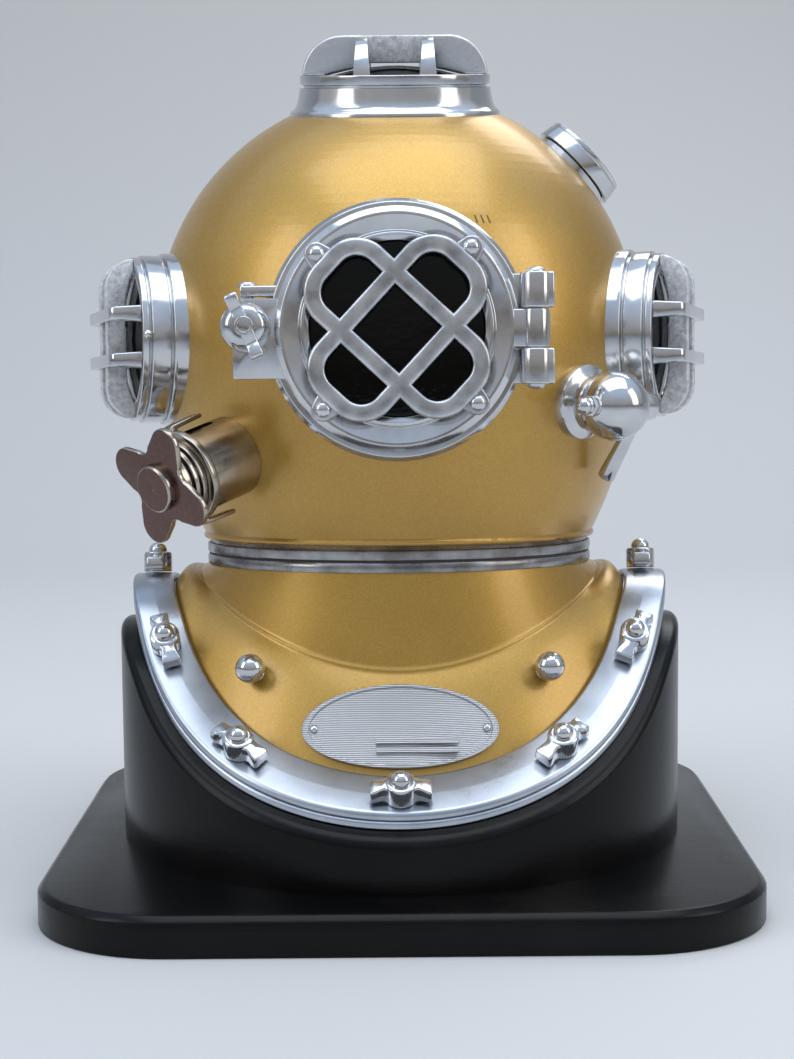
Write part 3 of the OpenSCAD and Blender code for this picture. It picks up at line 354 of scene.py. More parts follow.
rings = []
for step in range(shell_steps):
    angle = step * 360 / shell_steps
    rings.append([shell_point(angle, row, -bead(row)) for row in outer_rows]
                 + [shell_point(angle, row, shell_wall) for row in inner_rows])
breastplate_shell = skin("breastplate_gold_shell", rings, crease=50)

gold_paint, sheet, shader = new_material("metallic_gold_paint")
shader.inputs["Metallic"].default_value = 0.7
shader.inputs["Coat Weight"].default_value = 0.5
shader.inputs["Coat Roughness"].default_value = 0.16
surface = node(sheet, "TexCoord")
flake = node(sheet, "TexVoronoi", Scale=1900)
flake_tone = two_tone(sheet, (0.47, 0.262, 0.044), (0.61, 0.375, 0.086))
cloud = node(sheet, "TexNoise", Scale=11, Detail=5, Roughness=0.55)
cloud_tone = two_tone(sheet, (0.86, 0.84, 0.80), (1, 1, 1), 0.3, 0.7)
tone = node(sheet, "Mix", data_type="RGBA", blend_type="MULTIPLY")
tone.inputs[0].default_value = 1  # sockets 6, 7 and 2 are its two colours and the result
spray = node(sheet, "TexNoise", Scale=420, Detail=3)
spray_range = between(sheet, 0.33, 0.46)
dent = node(sheet, "TexNoise", Scale=7.5, Detail=2)
dent_bump = node(sheet, "Bump", Strength=0.10, Distance=0.004)
spray_bump = node(sheet, "Bump", Strength=0.05, Distance=0.0003)
wire(sheet, surface.outputs["Object"], flake.inputs["Vector"],
     surface.outputs["Object"], cloud.inputs["Vector"],
     surface.outputs["Object"], spray.inputs["Vector"],
     surface.outputs["Object"], dent.inputs["Vector"],
     flake.outputs["Color"], flake_tone.inputs["Fac"],
     cloud.outputs["Fac"], cloud_tone.inputs["Fac"],
     flake_tone.outputs["Color"], tone.inputs[6],
     cloud_tone.outputs["Color"], tone.inputs[7],
     tone.outputs[2], shader.inputs["Base Color"],
     spray.outputs["Fac"], spray_range.inputs["Value"],
     spray_range.outputs["Result"], shader.inputs["Roughness"],
     dent.outputs["Fac"], dent_bump.inputs["Height"],
     dent_bump.outputs["Normal"], spray_bump.inputs["Normal"],
     spray.outputs["Fac"], spray_bump.inputs["Height"],
     spray_bump.outputs["Normal"], shader.inputs["Normal"])
breastplate_shell.data.materials.append(gold_paint)
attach(breastplate_shell, "breastplate")
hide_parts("breastplate_shell")

# Flange and brailes
# The flange is a flat rim brazed to the shell; over it lie the brailes, front and rear, cast
# straps buffed bright, whose edges are rounded and whose top is a little crowned.
flange_in, flange_out, braile_top = braile_in - 6, 164, 9.0
braile_split, braile_gap = 94.2, 0.07


def rounded_section(corners, radius, steps=5):
    """A closed section given by its corner points, with every corner rounded."""
    section = []
    for k, corner in enumerate(corners):
        here = Vector(corner)
        to_last = Vector(corners[k - 1]) - here
        to_next = Vector(corners[(k + 1) % len(corners)]) - here
        back, ahead = to_last.normalized(), to_next.normalized()
        half = max(0.05, math.acos(max(-1, min(1, back.dot(ahead)))) / 2)
        reach = min(radius / math.tan(half), 0.45 * to_last.length, 0.45 * to_next.length)
        start, end = here + back * reach, here + ahead * reach
        for i in range(steps + 1):
            t = i / steps
            section.append(start.lerp(here, t).lerp(here.lerp(end, t), t))
    return section


def saddle_strap(name, section, start, end, closed):
    """A strap that follows the saddle; its section is in distance from the middle and lift."""
    steps = 240
    angles = [start + (end - start) * i / steps for i in range(steps if closed else steps + 1)]
    rings = [[on_saddle(a, r, lift) for r, lift in section] for a in angles]
    return skin(name, rings, wrap=closed, crease=50)


polished_metal, sheet, shader = new_material("polished_metal")
shader.inputs["Metallic"].default_value = 0.9
surface = node(sheet, "TexCoord")
smear = node(sheet, "TexNoise", Scale=38, Detail=6, Roughness=0.6)
plating = two_tone(sheet, (0.56, 0.565, 0.575), (0.66, 0.665, 0.67), 0.36, 0.62)
smear_range = between(sheet, 0.09, 0.24, 0.35, 0.75)
wave = node(sheet, "TexNoise", Scale=60, Detail=2)
scratch_map = node(sheet, "Mapping", Scale=(1, 14, 1), Rotation=(0.4, 0.3, 0.7))
scratch = node(sheet, "TexNoise", Scale=260, Detail=4)
wave_bump = node(sheet, "Bump", Strength=0.10, Distance=0.0012)
scratch_bump = node(sheet, "Bump", Strength=0.035, Distance=0.0002)
wire(sheet, surface.outputs["Object"], smear.inputs["Vector"],
     surface.outputs["Object"], wave.inputs["Vector"],
     surface.outputs["Object"], scratch_map.inputs["Vector"],
     scratch_map.outputs["Vector"], scratch.inputs["Vector"],
     smear.outputs["Fac"], plating.inputs["Fac"],
     plating.outputs["Color"], shader.inputs["Base Color"],
     smear.outputs["Fac"], smear_range.inputs["Value"],
     smear_range.outputs["Result"], shader.inputs["Roughness"],
     wave.outputs["Fac"], wave_bump.inputs["Height"],
     scratch.outputs["Fac"], scratch_bump.inputs["Height"],
     wave_bump.outputs["Normal"], scratch_bump.inputs["Normal"],
     scratch_bump.outputs["Normal"], shader.inputs["Normal"])

buffed_metal, sheet, shader = new_material("buffed_metal")
shader.inputs["Metallic"].default_value = 1
surface = node(sheet, "TexCoord")
cloudy = node(sheet, "TexNoise", Scale=24, Detail=7, Roughness=0.6)
cloudy_tone = two_tone(sheet, (0.42, 0.455, 0.51), (0.54, 0.58, 0.64), 0.35, 0.65)
cloudy_range = between(sheet, 0.2, 0.4)
hammer = node(sheet, "TexNoise", Scale=45, Detail=2)
hammer_bump = node(sheet, "Bump", Strength=0.12, Distance=0.0015)
wire(sheet, surface.outputs["Object"], cloudy.inputs["Vector"],
     surface.outputs["Object"], hammer.inputs["Vector"],
     cloudy.outputs["Fac"], cloudy_tone.inputs["Fac"],
     cloudy_tone.outputs["Color"], shader.inputs["Base Color"],
     cloudy.outputs["Fac"], cloudy_range.inputs["Value"],
     cloudy_range.outputs["Result"], shader.inputs["Roughness"],
     hammer.outputs["Fac"], hammer_bump.inputs["Height"],
     hammer_bump.outputs["Normal"], shader.inputs["Normal"])

flange_section = rounded_section([(flange_in, 0.3), (flange_out, 0.3), (flange_out, flange_top),
                                  (flange_in, flange_top)], 1.2)
flange = saddle_strap("breastplate_flange_rim", flange_section, 0, 360, True)
braile_low = flange_top + 0.05
braile_section = rounded_section([(braile_in, braile_low), (flange_out, braile_low),
                                  (flange_out, braile_top - 0.5), (flange_out - 12, braile_top),
                                  (braile_in, braile_top - 0.3)], 1.9)
braile_front = saddle_strap("braile_front_strap", braile_section, -braile_split + braile_gap,
                            braile_split - braile_gap, False)
braile_rear = saddle_strap("braile_rear_strap", braile_section, braile_split + braile_gap,
                           360 - braile_split - braile_gap, False)
for piece, hidden in ((flange, "breastplate_flange"), (braile_front, "braile_front"),
                      (braile_rear, "braile_rear")):
    piece.data.materials.append(buffed_metal)
    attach(piece, "breastplate")
    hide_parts(hidden)

# Studs and wing nuts
# Plated wing nuts clamp the brailes, one on each stud. A nut is a round boss with two
# square-ended wings; the stud ends above it in a polished dome.
stud_count, first_pitch, nut_h, boss_r, nut_twist = 12, 37, 12.5, 8.75, 8
nut_lift = braile_top - flange_top + 0.1
wing_root, wing_fall, wing_narrows, wing_foot = 9, 0.32, 0.9, 0.6
sharp_edge = math.radians(40)
stud_circle = (flange_out + braile_in) / 2
later_pitch = (360 - 2 * first_pitch) / (stud_count - 2)
stud_angles = [0] + [first_pitch + i * later_pitch for i in range(stud_count - 1)]


def shift(x, y, z):
    """A move in millimetres."""
    return Matrix.Translation((x * mm, y * mm, z * mm))


def turn(axis, degrees):
    """A turn about an axis, in degrees."""
    return Matrix.Rotation(math.radians(degrees), 4, axis)


def saddle_tilt(y, lift):
    """Slope of the raised saddle at y, in radians about X."""
    if abs(y) <= (ridge_r + lift) * math.sin(saddle_slope):
        return -math.asin(y / (ridge_r + lift))
    return -math.copysign(math.asin((hollow_y - abs(y)) / (hollow_r - lift)), y)


def at_saddle(angle, radius, lift):
    """The frame of a stud: its foot on the raised saddle, Z along the stud."""
    foot = Vector(on_saddle(angle, radius, lift))
    return Matrix.Translation(foot * mm) @ Matrix.Rotation(saddle_tilt(foot.y, lift), 4, "X")


def turned(name, profile, place=Matrix(), steps=72, crease=32):
    """A turned piece: a closed profile of (radius, height) in millimetres, spun round Z."""
    rings = []
    for i in range(steps):
        a = 2 * math.pi * i / steps
        rings.append([(max(r, 0.0) * math.cos(a), max(r, 0.0) * math.sin(a), z) for r, z in profile])
    return skin(name, rings, place, crease=crease)


def soften(made, width, segments=3):
    """Rounds the sharp edges of a piece by width millimetres, in its mesh."""
    rounding = made.modifiers.new("soften", "BEVEL")
    rounding.width, rounding.segments = width * mm, segments
    rounding.limit_method, rounding.angle_limit = "ANGLE", sharp_edge
    graph = bpy.context.evaluated_depsgraph_get()
    graph.update()
    done = bpy.data.meshes.new_from_object(made.evaluated_get(graph))
    made.modifiers.clear()
    made.data = done
    done.polygons.foreach_set("use_smooth", [True] * len(done.polygons))
    done.set_sharp_from_angle(angle=sharp_edge)


def prism(name, outline, low, high, bevel, place=Matrix(), segments=3):
    """A flat piece cut to an outline and rounded over on its edges."""
    made = skin(name, [[(x, y, level) for x, y in outline] for level in (low, high)],
                place, wrap=False, crease=40)
    if bevel:
        soften(made, bevel, segments)
    return made


def gather(name, parts):
    """Joins pieces into one object whose own origin is the row's."""
    points, faces = [], []
    for part in parts:
        start = len(points)
        points += [part.matrix_world @ v.co for v in part.data.vertices]
        faces += [tuple(start + i for i in face.vertices) for face in part.data.polygons]
        mesh = part.data
        bpy.data.objects.remove(part)
        if mesh.users == 0:
            bpy.data.meshes.remove(mesh)
    joined = bpy.data.meshes.new(name)
    joined.from_pydata(points, [], faces)
    joined.polygons.foreach_set("use_smooth", [True] * len(joined.polygons))
    joined.set_sharp_from_angle(angle=math.radians(36))
    made = bpy.data.objects.new(name, joined)
    scene.collection.objects.link(made)
    return made


def copy_of(part, place):
    """A second object with the same mesh at another place."""
    made = bpy.data.objects.new(part.name + "_copy", part.data)
    made.matrix_world = place
    scene.collection.objects.link(made)
    return made


def arc_points(cx, cy, r, start, end, steps):
    """Points of an arc, angles in degrees."""
    angles = [math.radians(start + (end - start) * i / steps) for i in range(steps + 1)]
    return [(cx + r * math.cos(a), cy + r * math.sin(a)) for a in angles]


def dome_points(r, rise, level, degrees):
    """Side view of a dome of radius r that rises by rise above level, at these angles."""
    angles = [math.radians(d) for d in degrees]
    return [(r * math.cos(a), level + rise * math.sin(a)) for a in angles]


wing_half = [(17.5, -5.2), (17.5, 5.2), (16.2, 5.9), (13.6, 5.5), (11.2, 4.7), (9.4, 4.6)]
nut_outline = wing_half + arc_points(0, 0, boss_r, 36, 144, 10)
nut_outline += [(-x, y) for x, y in reversed(wing_half)]
nut_outline += [(-x, -y) for x, y in wing_half[2:]] + arc_points(0, 0, boss_r, 216, 324, 10)
nut_outline += [(x, -y) for x, y in reversed(wing_half[2:])]
wings = prism("wings", nut_outline, 1.0, nut_h - 1.2, 0)
for v in wings.data.vertices:
    out = abs(v.co.x) / mm - wing_root
    if out > 0 and v.co.z > 5 * mm:
        v.co.z -= wing_fall * out * mm
        v.co.y *= wing_narrows
    elif out > 0:
        v.co.z += wing_foot * mm
soften(wings, 0.9)
boss = turned("boss", [(0, 0.15), (8.2, 0.15), (boss_r, 0.7), (boss_r, nut_h - 1.6),
                       (8.4, nut_h - 0.5), (7.6, nut_h), (6.2, nut_h + 0.1), (0, nut_h + 0.1)], steps=48)
dome_side = dome_points(5.7, 5.2, nut_h + 1.0, (-12, 0, 14, 28, 42, 56, 70, 81))
dome = turned("dome", [(0, nut_h)] + dome_side + [(0, nut_h + 6.2)], steps=40)
nuts, domes = [], []
for k, angle in enumerate(stud_angles):
    foot = at_saddle(angle, stud_circle, flange_top) @ shift(0, 0, nut_lift)
    twist = turn("Z", angle + nut_twist * math.sin(math.radians(97 * k)))
    nuts += [copy_of(wings, foot @ twist), copy_of(boss, foot @ twist)]
    domes.append(copy_of(dome, foot))
for pattern in (wings, boss, dome):
    bpy.data.objects.remove(pattern)
braile_nuts = gather("braile_wing_nuts", nuts)
braile_studs = gather("braile_stud_domes", domes)
for piece, hidden in ((braile_nuts, "braile_nuts"), (braile_studs, "braile_studs")):
    piece.data.materials.append(polished_metal)
    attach(piece, "breastplate")
    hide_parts(hidden)

# Ball posts
# Two plated balls on short necks stand on the chest, left and right of the oval plate; lines
# were hitched round them.
ball_r, ball_angle, ball_row = 8.5, 39, 0.5


def at_chest(angle, row):
    """The frame of a fitting on the chest: its foot on the shell, Z outward."""
    foot = shell_point(angle, row, 0)
    up = shell_point(angle, row + 0.08, 0) - shell_point(angle, row - 0.08, 0)
    along = shell_point(angle + 2, row, 0) - shell_point(angle - 2, row, 0)
    out = along.cross(up).normalized()
    side = along.normalized()
    axes = Matrix((side, out.cross(side), out)).transposed().to_4x4()
    return Matrix.Translation(foot * mm) @ axes


post_profile = [(0, 0.25), (4.9, 0.25), (4.6, 0.9), (3.9, 1.6)]
post_profile += dome_points(ball_r, ball_r, ball_r + 0.6, range(-60, 86, 6)) + [(0, 2 * ball_r + 0.6)]
posts = [turned("post", post_profile, at_chest(side * ball_angle, ball_row), steps=64)
         for side in (-1, 1)]
ball_posts = gather("ball_posts_chrome", posts)
ball_posts.data.materials.append(polished_metal)
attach(ball_posts, "breastplate")
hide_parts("ball_posts")

# Oval plate
# A cast oval plate, bowed to the chest and held by two rivets. Its rim and two bars stand up
# from the ground, and fine level lines of dark and bright run over the whole plate.
oval_w, oval_h, oval_t, bow_r, bar_start, bar_end, bar_w = 112, 49, 1.6, 260, -14, 33, 3.2
oval_rows = [(1.0, 0.3), (1.0, 2.0), (0.99, 2.4), (0.945, 2.4), (0.93, 2.2), (0.925, 1.5), (0.8, 1.5),
             (0.6, 1.5), (0.35, 1.5), (0.1, 1.5), (0.0, 1.5)]


def bowed(x, y, z):
    """Bends a point of the flat plate over the chest."""
    return (x, y, z - (bow_r - math.sqrt(bow_r * bow_r - x * x)))


def oval_ring(share, z, steps=120):
    """One turn round the bowed plate, at a share of its full width and height."""
    return [bowed(oval_w / 2 * share * math.cos(2 * math.pi * i / steps),
                  oval_h / 2 * share * math.sin(2 * math.pi * i / steps), z) for i in range(steps)]


def oblong(x_low, y_low, x_high, y_high):
    """Outline of a square-cornered bar."""
    return [(x_low, y_low), (x_high, y_low), (x_high, y_high), (x_low, y_high)]


at_oval = at_chest(0, 0.42)
plate = skin("plate", [oval_ring(share, z) for share, z in oval_rows], at_oval, wrap=False, caps=False,
             crease=30)
bars = [prism("bar", oblong(bar_start, low, bar_end, low + bar_w), 1.2, 2.9, 0.4, at_oval)
        for low in (-10.5, -15.5)]
oval_plate = gather("oval_plate_cast", [plate] + bars)

plate_metal, sheet, shader = new_material("plate_metal")
shader.inputs["Metallic"].default_value = 1
surface = node(sheet, "TexCoord")
lines = node(sheet, "TexWave", bands_direction="Z", Scale=330, Distortion=0.4, Detail=2)
level = two_tone(sheet, (0.30, 0.30, 0.31), (0.74, 0.74, 0.74), 0.35, 0.7)
pits = node(sheet, "TexNoise", Scale=700, Detail=3)
pit_range = between(sheet, 0.3, 0.55)
line_bump = node(sheet, "Bump", Strength=0.5, Distance=0.0004)
wire(sheet, surface.outputs["Object"], lines.inputs["Vector"],
     surface.outputs["Object"], pits.inputs["Vector"],
     lines.outputs["Fac"], level.inputs["Fac"],
     level.outputs["Color"], shader.inputs["Base Color"],
     pits.outputs["Fac"], pit_range.inputs["Value"],
     pit_range.outputs["Result"], shader.inputs["Roughness"],
     lines.outputs["Fac"], line_bump.inputs["Height"],
     line_bump.outputs["Normal"], shader.inputs["Normal"])
oval_plate.data.materials.append(plate_metal)
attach(oval_plate, "breastplate")
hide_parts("oval_plate")

rivet_lean = math.degrees(math.asin((oval_w / 2 - 7) / bow_r))
rivet_profile = [(0, -1.4), (1.4, -1.4), (1.4, 0.1), (2.35, 0.15), (2.3, 0.5), (2.0, 1.1), (1.2, 1.6),
                 (0, 1.75)]
at_bow = at_oval @ shift(0, 0, oval_t - bow_r)
rivets = []
for side in (-1, 1):
    at_rivet = at_bow @ turn("Y", side * rivet_lean) @ shift(0, 0, bow_r)
    rivets.append(turned("rivet", rivet_profile, at_rivet, steps=24))
plate_rivets = gather("plate_rivet_heads", rivets)
plate_rivets.data.materials.append(polished_metal)
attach(plate_rivets, "breastplate")
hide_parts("plate_rivets")

# Neck rings
# Two machined rings meet on a leather washer. The lower one is brazed to the collar and carries
# the spigot with four lugs; the upper one is brazed into the bonnet and turns under those lugs.
at_neck = shift(0, neck_back, neck_z) @ Matrix.Rotation(-neck_lean, 4, "X")
gasket_t, spigot_r, lug_reach, lug_h, lug_span, rest_gap = 1.8, 111.5, 2.6, 4, 38, 0.3
spigot_in, ring_in, shell_in = spigot_r - 3, spigot_r + lug_reach + 0.6, 116.35
lug_low = gasket_t + 0.7
lug_top = lug_low + 2 * lug_h + rest_gap


def lug_arcs(in_r, out_r, low, high):
    """Four lugs, each a thick arc of a ring."""
    lugs = []
    for quarter in range(4):
        rings = []
        for i in range(13):
            a = math.radians(quarter * 90 - lug_span / 2 + lug_span * i / 12)
            rings.append([(r * math.cos(a), r * math.sin(a), z) for r, z in
                          ((in_r, low), (out_r, low), (out_r, high), (in_r, high))])
        lugs.append(skin("lug", rings, at_neck, wrap=False))
    return lugs


lower_profile = [
    (spigot_in, -neck_band), (neck_r - 1.4, -neck_band), (neck_r - 0.4, -neck_band + 0.3),
    (neck_r, -neck_band + 1.2), (neck_r, -gasket_t - 0.7), (neck_r - 0.3, -gasket_t - 0.2),
    (neck_r - 0.8, -gasket_t + 0.3), (neck_r - 2.4, -gasket_t + 0.3),
    (neck_r - 2.6, -gasket_t - 0.05), (spigot_r, -gasket_t - 0.05), (spigot_r, lug_top),
    (spigot_in, lug_top)]
lower_lugs = lug_arcs(spigot_r - 1, spigot_r + lug_reach, lug_low + lug_h + rest_gap, lug_top)
upper_profile = [
    (ring_in, rest_gap), (neck_r - 0.8, rest_gap - 0.5), (neck_r - 0.3, rest_gap - 0.3),
    (neck_r, rest_gap + 0.3), (neck_r, neck_band - 2.6), (neck_r - 0.5, neck_band - 2.0),
    (neck_r - 2.6, neck_band - 1.8), (shell_in - 0.2, neck_band), (shell_in - 0.2, neck_band + 5),
    (ring_in, neck_band + 5)]
upper_lugs = lug_arcs(spigot_r + 0.6, spigot_r + lug_reach + 1.6, lug_low, lug_low + lug_h)
neck_ring = gather("neck_ring_lower",
                   [turned("ring", lower_profile, at_neck, steps=180)] + lower_lugs)
bonnet_ring = gather("bonnet_ring_upper",
                     [turned("ring", upper_profile, at_neck, steps=180)] + upper_lugs)

turned_metal, sheet, shader = new_material("turned_metal")
shader.inputs["Metallic"].default_value = 1
surface = node(sheet, "TexCoord")
ring_map = node(sheet, "Mapping", Scale=(60, 60, 2))
ring_lines = node(sheet, "TexNoise", Scale=1.6, Detail=5)
ring_range = between(sheet, 0.14, 0.42)
ring_bump = node(sheet, "Bump", Strength=0.08, Distance=0.0003)
scuff = node(sheet, "TexNoise", Scale=55, Detail=6)
# The rings' dark grey is partly random scuffing and partly painted shade that darkens them as a whole.
scuff_and_shade_tone = two_tone(sheet, (0.20, 0.19, 0.185), (0.38, 0.375, 0.375), 0.38, 0.6)
wire(sheet, surface.outputs["Object"], ring_map.inputs["Vector"],
     ring_map.outputs["Vector"], ring_lines.inputs["Vector"],
     surface.outputs["Object"], scuff.inputs["Vector"],
     scuff.outputs["Fac"], scuff_and_shade_tone.inputs["Fac"],
     scuff_and_shade_tone.outputs["Color"], shader.inputs["Base Color"],
     ring_lines.outputs["Fac"], ring_range.inputs["Value"],
     ring_range.outputs["Result"], shader.inputs["Roughness"],
     ring_lines.outputs["Fac"], ring_bump.inputs["Height"],
     ring_bump.outputs["Normal"], shader.inputs["Normal"])
for piece, hidden, body in ((neck_ring, "neck_ring", "breastplate"),
                            (bonnet_ring, "bonnet_ring", "bonnet")):
    piece.data.materials.append(turned_metal)
    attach(piece, body)
    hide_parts(hidden)

# The washer's near-black brown is the leather's own brown darkened as painted shade of the narrow gap
# between the rings.
leather_in_painted_shade, sheet, shader = new_material("leather_in_painted_shade")
shader.inputs["Roughness"].default_value = 0.6
pores = node(sheet, "TexVoronoi", Scale=900)
leather_shade_tone = two_tone(sheet, (0.020, 0.012, 0.008), (0.045, 0.026, 0.016))
pore_bump = node(sheet, "Bump", Strength=0.3, Distance=0.0003)
wire(sheet, pores.outputs["Distance"], leather_shade_tone.inputs["Fac"],
     leather_shade_tone.outputs["Color"], shader.inputs["Base Color"],
     pores.outputs["Distance"], pore_bump.inputs["Height"],
     pore_bump.outputs["Normal"], shader.inputs["Normal"])
coat_solid("neck_gasket", leather_in_painted_shade)

# Bonnet shell
# A spun dome, a half ball above its widest level, drawn in below to a beaded foot in one long
# curve, in the same gold paint. Three short marks are cut beside the front, above the door.
dome_r, flank_r, dome_h, port_level = 150, 266, 132.9, -2.9
mark = oblong(-0.45, -2.6, 0.45, 2.6)


def wall_r(level):
    """Outside radius of the bonnet at a level measured from the dome's centre."""
    if level > 0:
        return math.sqrt(max(0, dome_r ** 2 - level ** 2))
    return dome_r - flank_r + math.sqrt(flank_r ** 2 - level ** 2)


at_dome = at_neck @ shift(0, 0, dome_h)


def at_port(around, level):
    """A frame on the bonnet's axis: X to the right, Y up, Z outward, turned round from the front."""
    return at_dome @ shift(0, 0, level) @ turn("Z", around) @ turn("X", 90)


def at_wall(around, level, dip):
    """A frame on the bonnet's outside, its Z outward and dipped below level."""
    return at_port(around, level) @ shift(0, 0, wall_r(level)) @ turn("X", dip)


def seated(name, profile, place, inside, steps=144, crease=40):
    """A turned piece whose foot is cut to the bonnet and sunk in it a little: profile points with
    no height end there. inside is a height on the piece's axis that lies within the bonnet."""
    to_dome, sunk, farthest, halvings = at_dome.inverted() @ place, 1.0, inside + 160, 26
    rings = []
    for i in range(steps):
        a = 2 * math.pi * i / steps
        ring = []
        for r, z in profile:
            x, y = r * math.cos(a), r * math.sin(a)
            if z is None:
                low, high = inside, farthest
                for _ in range(halvings):
                    z = (low + high) / 2
                    at = to_dome @ (Vector((x, y, z)) * mm) / mm
                    if math.hypot(at.x, at.y) > wall_r(at.z):
                        high = z
                    else:
                        low = z
                z -= sunk
            ring.append((x, y, z))
        rings.append(ring)
    return skin(name, rings, place, crease=crease)


coat_solid("bonnet_shell", gold_paint)

marks = []
for around in (19.0, 20.6, 22.2):
    across = at_dome @ turn("Z", around) @ turn("X", -23.4)
    marks.append(prism("mark", mark, dome_r - 0.4, dome_r + 0.12, 0.1,
                       across @ turn("X", 90) @ turn("Z", 12)))
dome_marks = gather("dome_marks_cut", marks)
# The marks' dark brown is painted shadow of the cuts, on thin pieces laid into the dome.
mark_shadow, sheet, shader = new_material("mark_shadow")
shader.inputs["Roughness"].default_value = 0.6
cut_shadow_noise = node(sheet, "TexNoise", Scale=400)
cut_shadow_tone = two_tone(sheet, (0.10, 0.055, 0.012), (0.20, 0.12, 0.03))
wire(sheet, cut_shadow_noise.outputs["Fac"], cut_shadow_tone.inputs["Fac"],
     cut_shadow_tone.outputs["Color"], shader.inputs["Base Color"])
dome_marks.data.materials.append(mark_shadow)
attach(dome_marks, "bonnet")

# Port rings
# Each window has a turned seat brazed to the shell. On the side ones two dark grooves part a base
# ring, a band and a rim; on the top one a single hollow curve spreads from the rim to the base.
side_base_r, side_glass_r, side_reach, side_stand = 51.8, 38.8, 167.37, 26.6
top_base_r, top_glass_r, top_reach, top_stand, rim_inset = 64.0, 45.5, 159.62, 24.2, 6.1
at_top = at_dome @ turn("X", 9.8)
at_sides = {"left": at_port(-74, port_level), "right": at_port(74, port_level)}

band_r, rim_r = side_base_r - 1.4, side_base_r - 2.6
base_top, band_top = side_reach - side_stand * 0.68, side_reach - side_stand * 0.2
side_rim = rounded_section([
    (side_glass_r, base_top - 9), (side_glass_r, side_reach - 0.6), (rim_r, side_reach),
    (rim_r, band_top + 1.5), (rim_r - 1.8, band_top + 1.2), (rim_r - 1.8, band_top + 0.1),
    (band_r, band_top - 0.3), (band_r, base_top + 1.6), (band_r - 2.0, base_top + 1.3),
    (band_r - 2.0, base_top + 0.1), (side_base_r - 0.4, base_top - 0.3), (side_base_r, base_top - 2),
    (side_base_r, base_top - 9)], 0.75, 3)
side_section = [(side_glass_r, None)] + [tuple(p) for p in side_rim if p[1] > base_top - 3]
side_section.append((side_base_r, None))
top_rim_r, curve_low, curve_high = top_base_r - rim_inset, top_reach - top_stand + 2.6, top_reach - 7.7
top_rim = rounded_section([
    (top_glass_r, top_reach - 20), (top_glass_r, top_reach - 0.5), (top_rim_r, top_reach),
    (top_rim_r, top_reach - 5.6), (top_rim_r - 2.0, top_reach - 6.1),
    (top_rim_r - 2.0, top_reach - 7.4)], 0.8, 4)
curve = []
for i in range(17):
    t = i / 16
    curve.append((top_rim_r + 0.2 + 2.2 * (1 - t) + (rim_inset - 2.8) * (1 - t) ** 6,
                  curve_low + (curve_high - curve_low) * t))
top_section = [(top_glass_r, None)] + [tuple(p) for p in top_rim if p[1] > top_reach - 15]
top_section += curve[::-1] + [(top_base_r + 0.1, curve_low - 0.9), (top_base_r, None)]

seats = {side: seated(side + "_port_rings", side_section, place, 60)
         for side, place in at_sides.items()}
seats["top"] = seated("top_port_rings", top_section, at_top, 60)
stop_r = 2.8
stop_profile = [(0, -2)] + dome_points(stop_r, stop_r, 0, range(-60, 90, 10)) + [(0, stop_r)]
at_stop = at_sides["left"] @ shift(rim_r + 0.9, 1, side_reach - 2.6) @ turn("Y", 90)
stop_rivet = turned("rivet", stop_profile, at_stop, steps=24)
seats["left"] = gather("left_port_rings", [seats["left"], stop_rivet])
for side, seat in seats.items():
    seat.data.materials.append(polished_metal)
    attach(seat, "bonnet")
    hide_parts(side + "_port_seat")

# Port glasses
# Thick glasses with a domed face, each bedded in putty in its seat. The inside of the helmet is
# dark behind them, so they show nearly black.
dark_glass, sheet, shader = new_material("dark_glass")
shader.inputs["Roughness"].default_value = 0.04
shader.inputs["Specular IOR Level"].default_value = 0.22
# The glass's near-black colour is painted shade of the dark inside of the helmet.
dark_inside_noise = node(sheet, "TexNoise", Scale=26, Detail=5)
dark_inside_tone = two_tone(sheet, (0.0015, 0.002, 0.002), (0.004, 0.005, 0.005))
ripple = node(sheet, "TexNoise", Scale=22, Detail=1)
ripple_bump = node(sheet, "Bump", Strength=0.05, Distance=0.002)
wire(sheet, dark_inside_noise.outputs["Fac"], dark_inside_tone.inputs["Fac"],
     dark_inside_tone.outputs["Color"], shader.inputs["Base Color"],
     ripple.outputs["Fac"], ripple_bump.inputs["Height"],
     ripple_bump.outputs["Normal"], shader.inputs["Normal"])


def lens(name, r, back, face, crown, place):
    """A round glass with a crowned face and eased edge."""
    shares = (0, 0.15, 0.3, 0.45, 0.6, 0.75, 0.87, 0.95, 0.985)
    front = [(r * t, face + crown * (1 - t * t)) for t in shares]
    return turned(name, [(0, back)] + front + [(r, face - 0.5), (r, back)], place, steps=96, crease=50)


glasses = {}
for side, place in at_sides.items():
    glasses[side] = lens(side + "_port_lens", side_glass_r + 0.2, side_reach - 6, side_reach - 3.0, 6,
                         place)
glasses["top"] = lens("top_port_lens", top_glass_r + 0.2, top_reach - 6, top_reach - 3.0, 8.4, at_top)
for side, glass in glasses.items():
    glass.data.materials.append(dark_glass)
    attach(glass, "bonnet")
    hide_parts(side + "_port_glass")

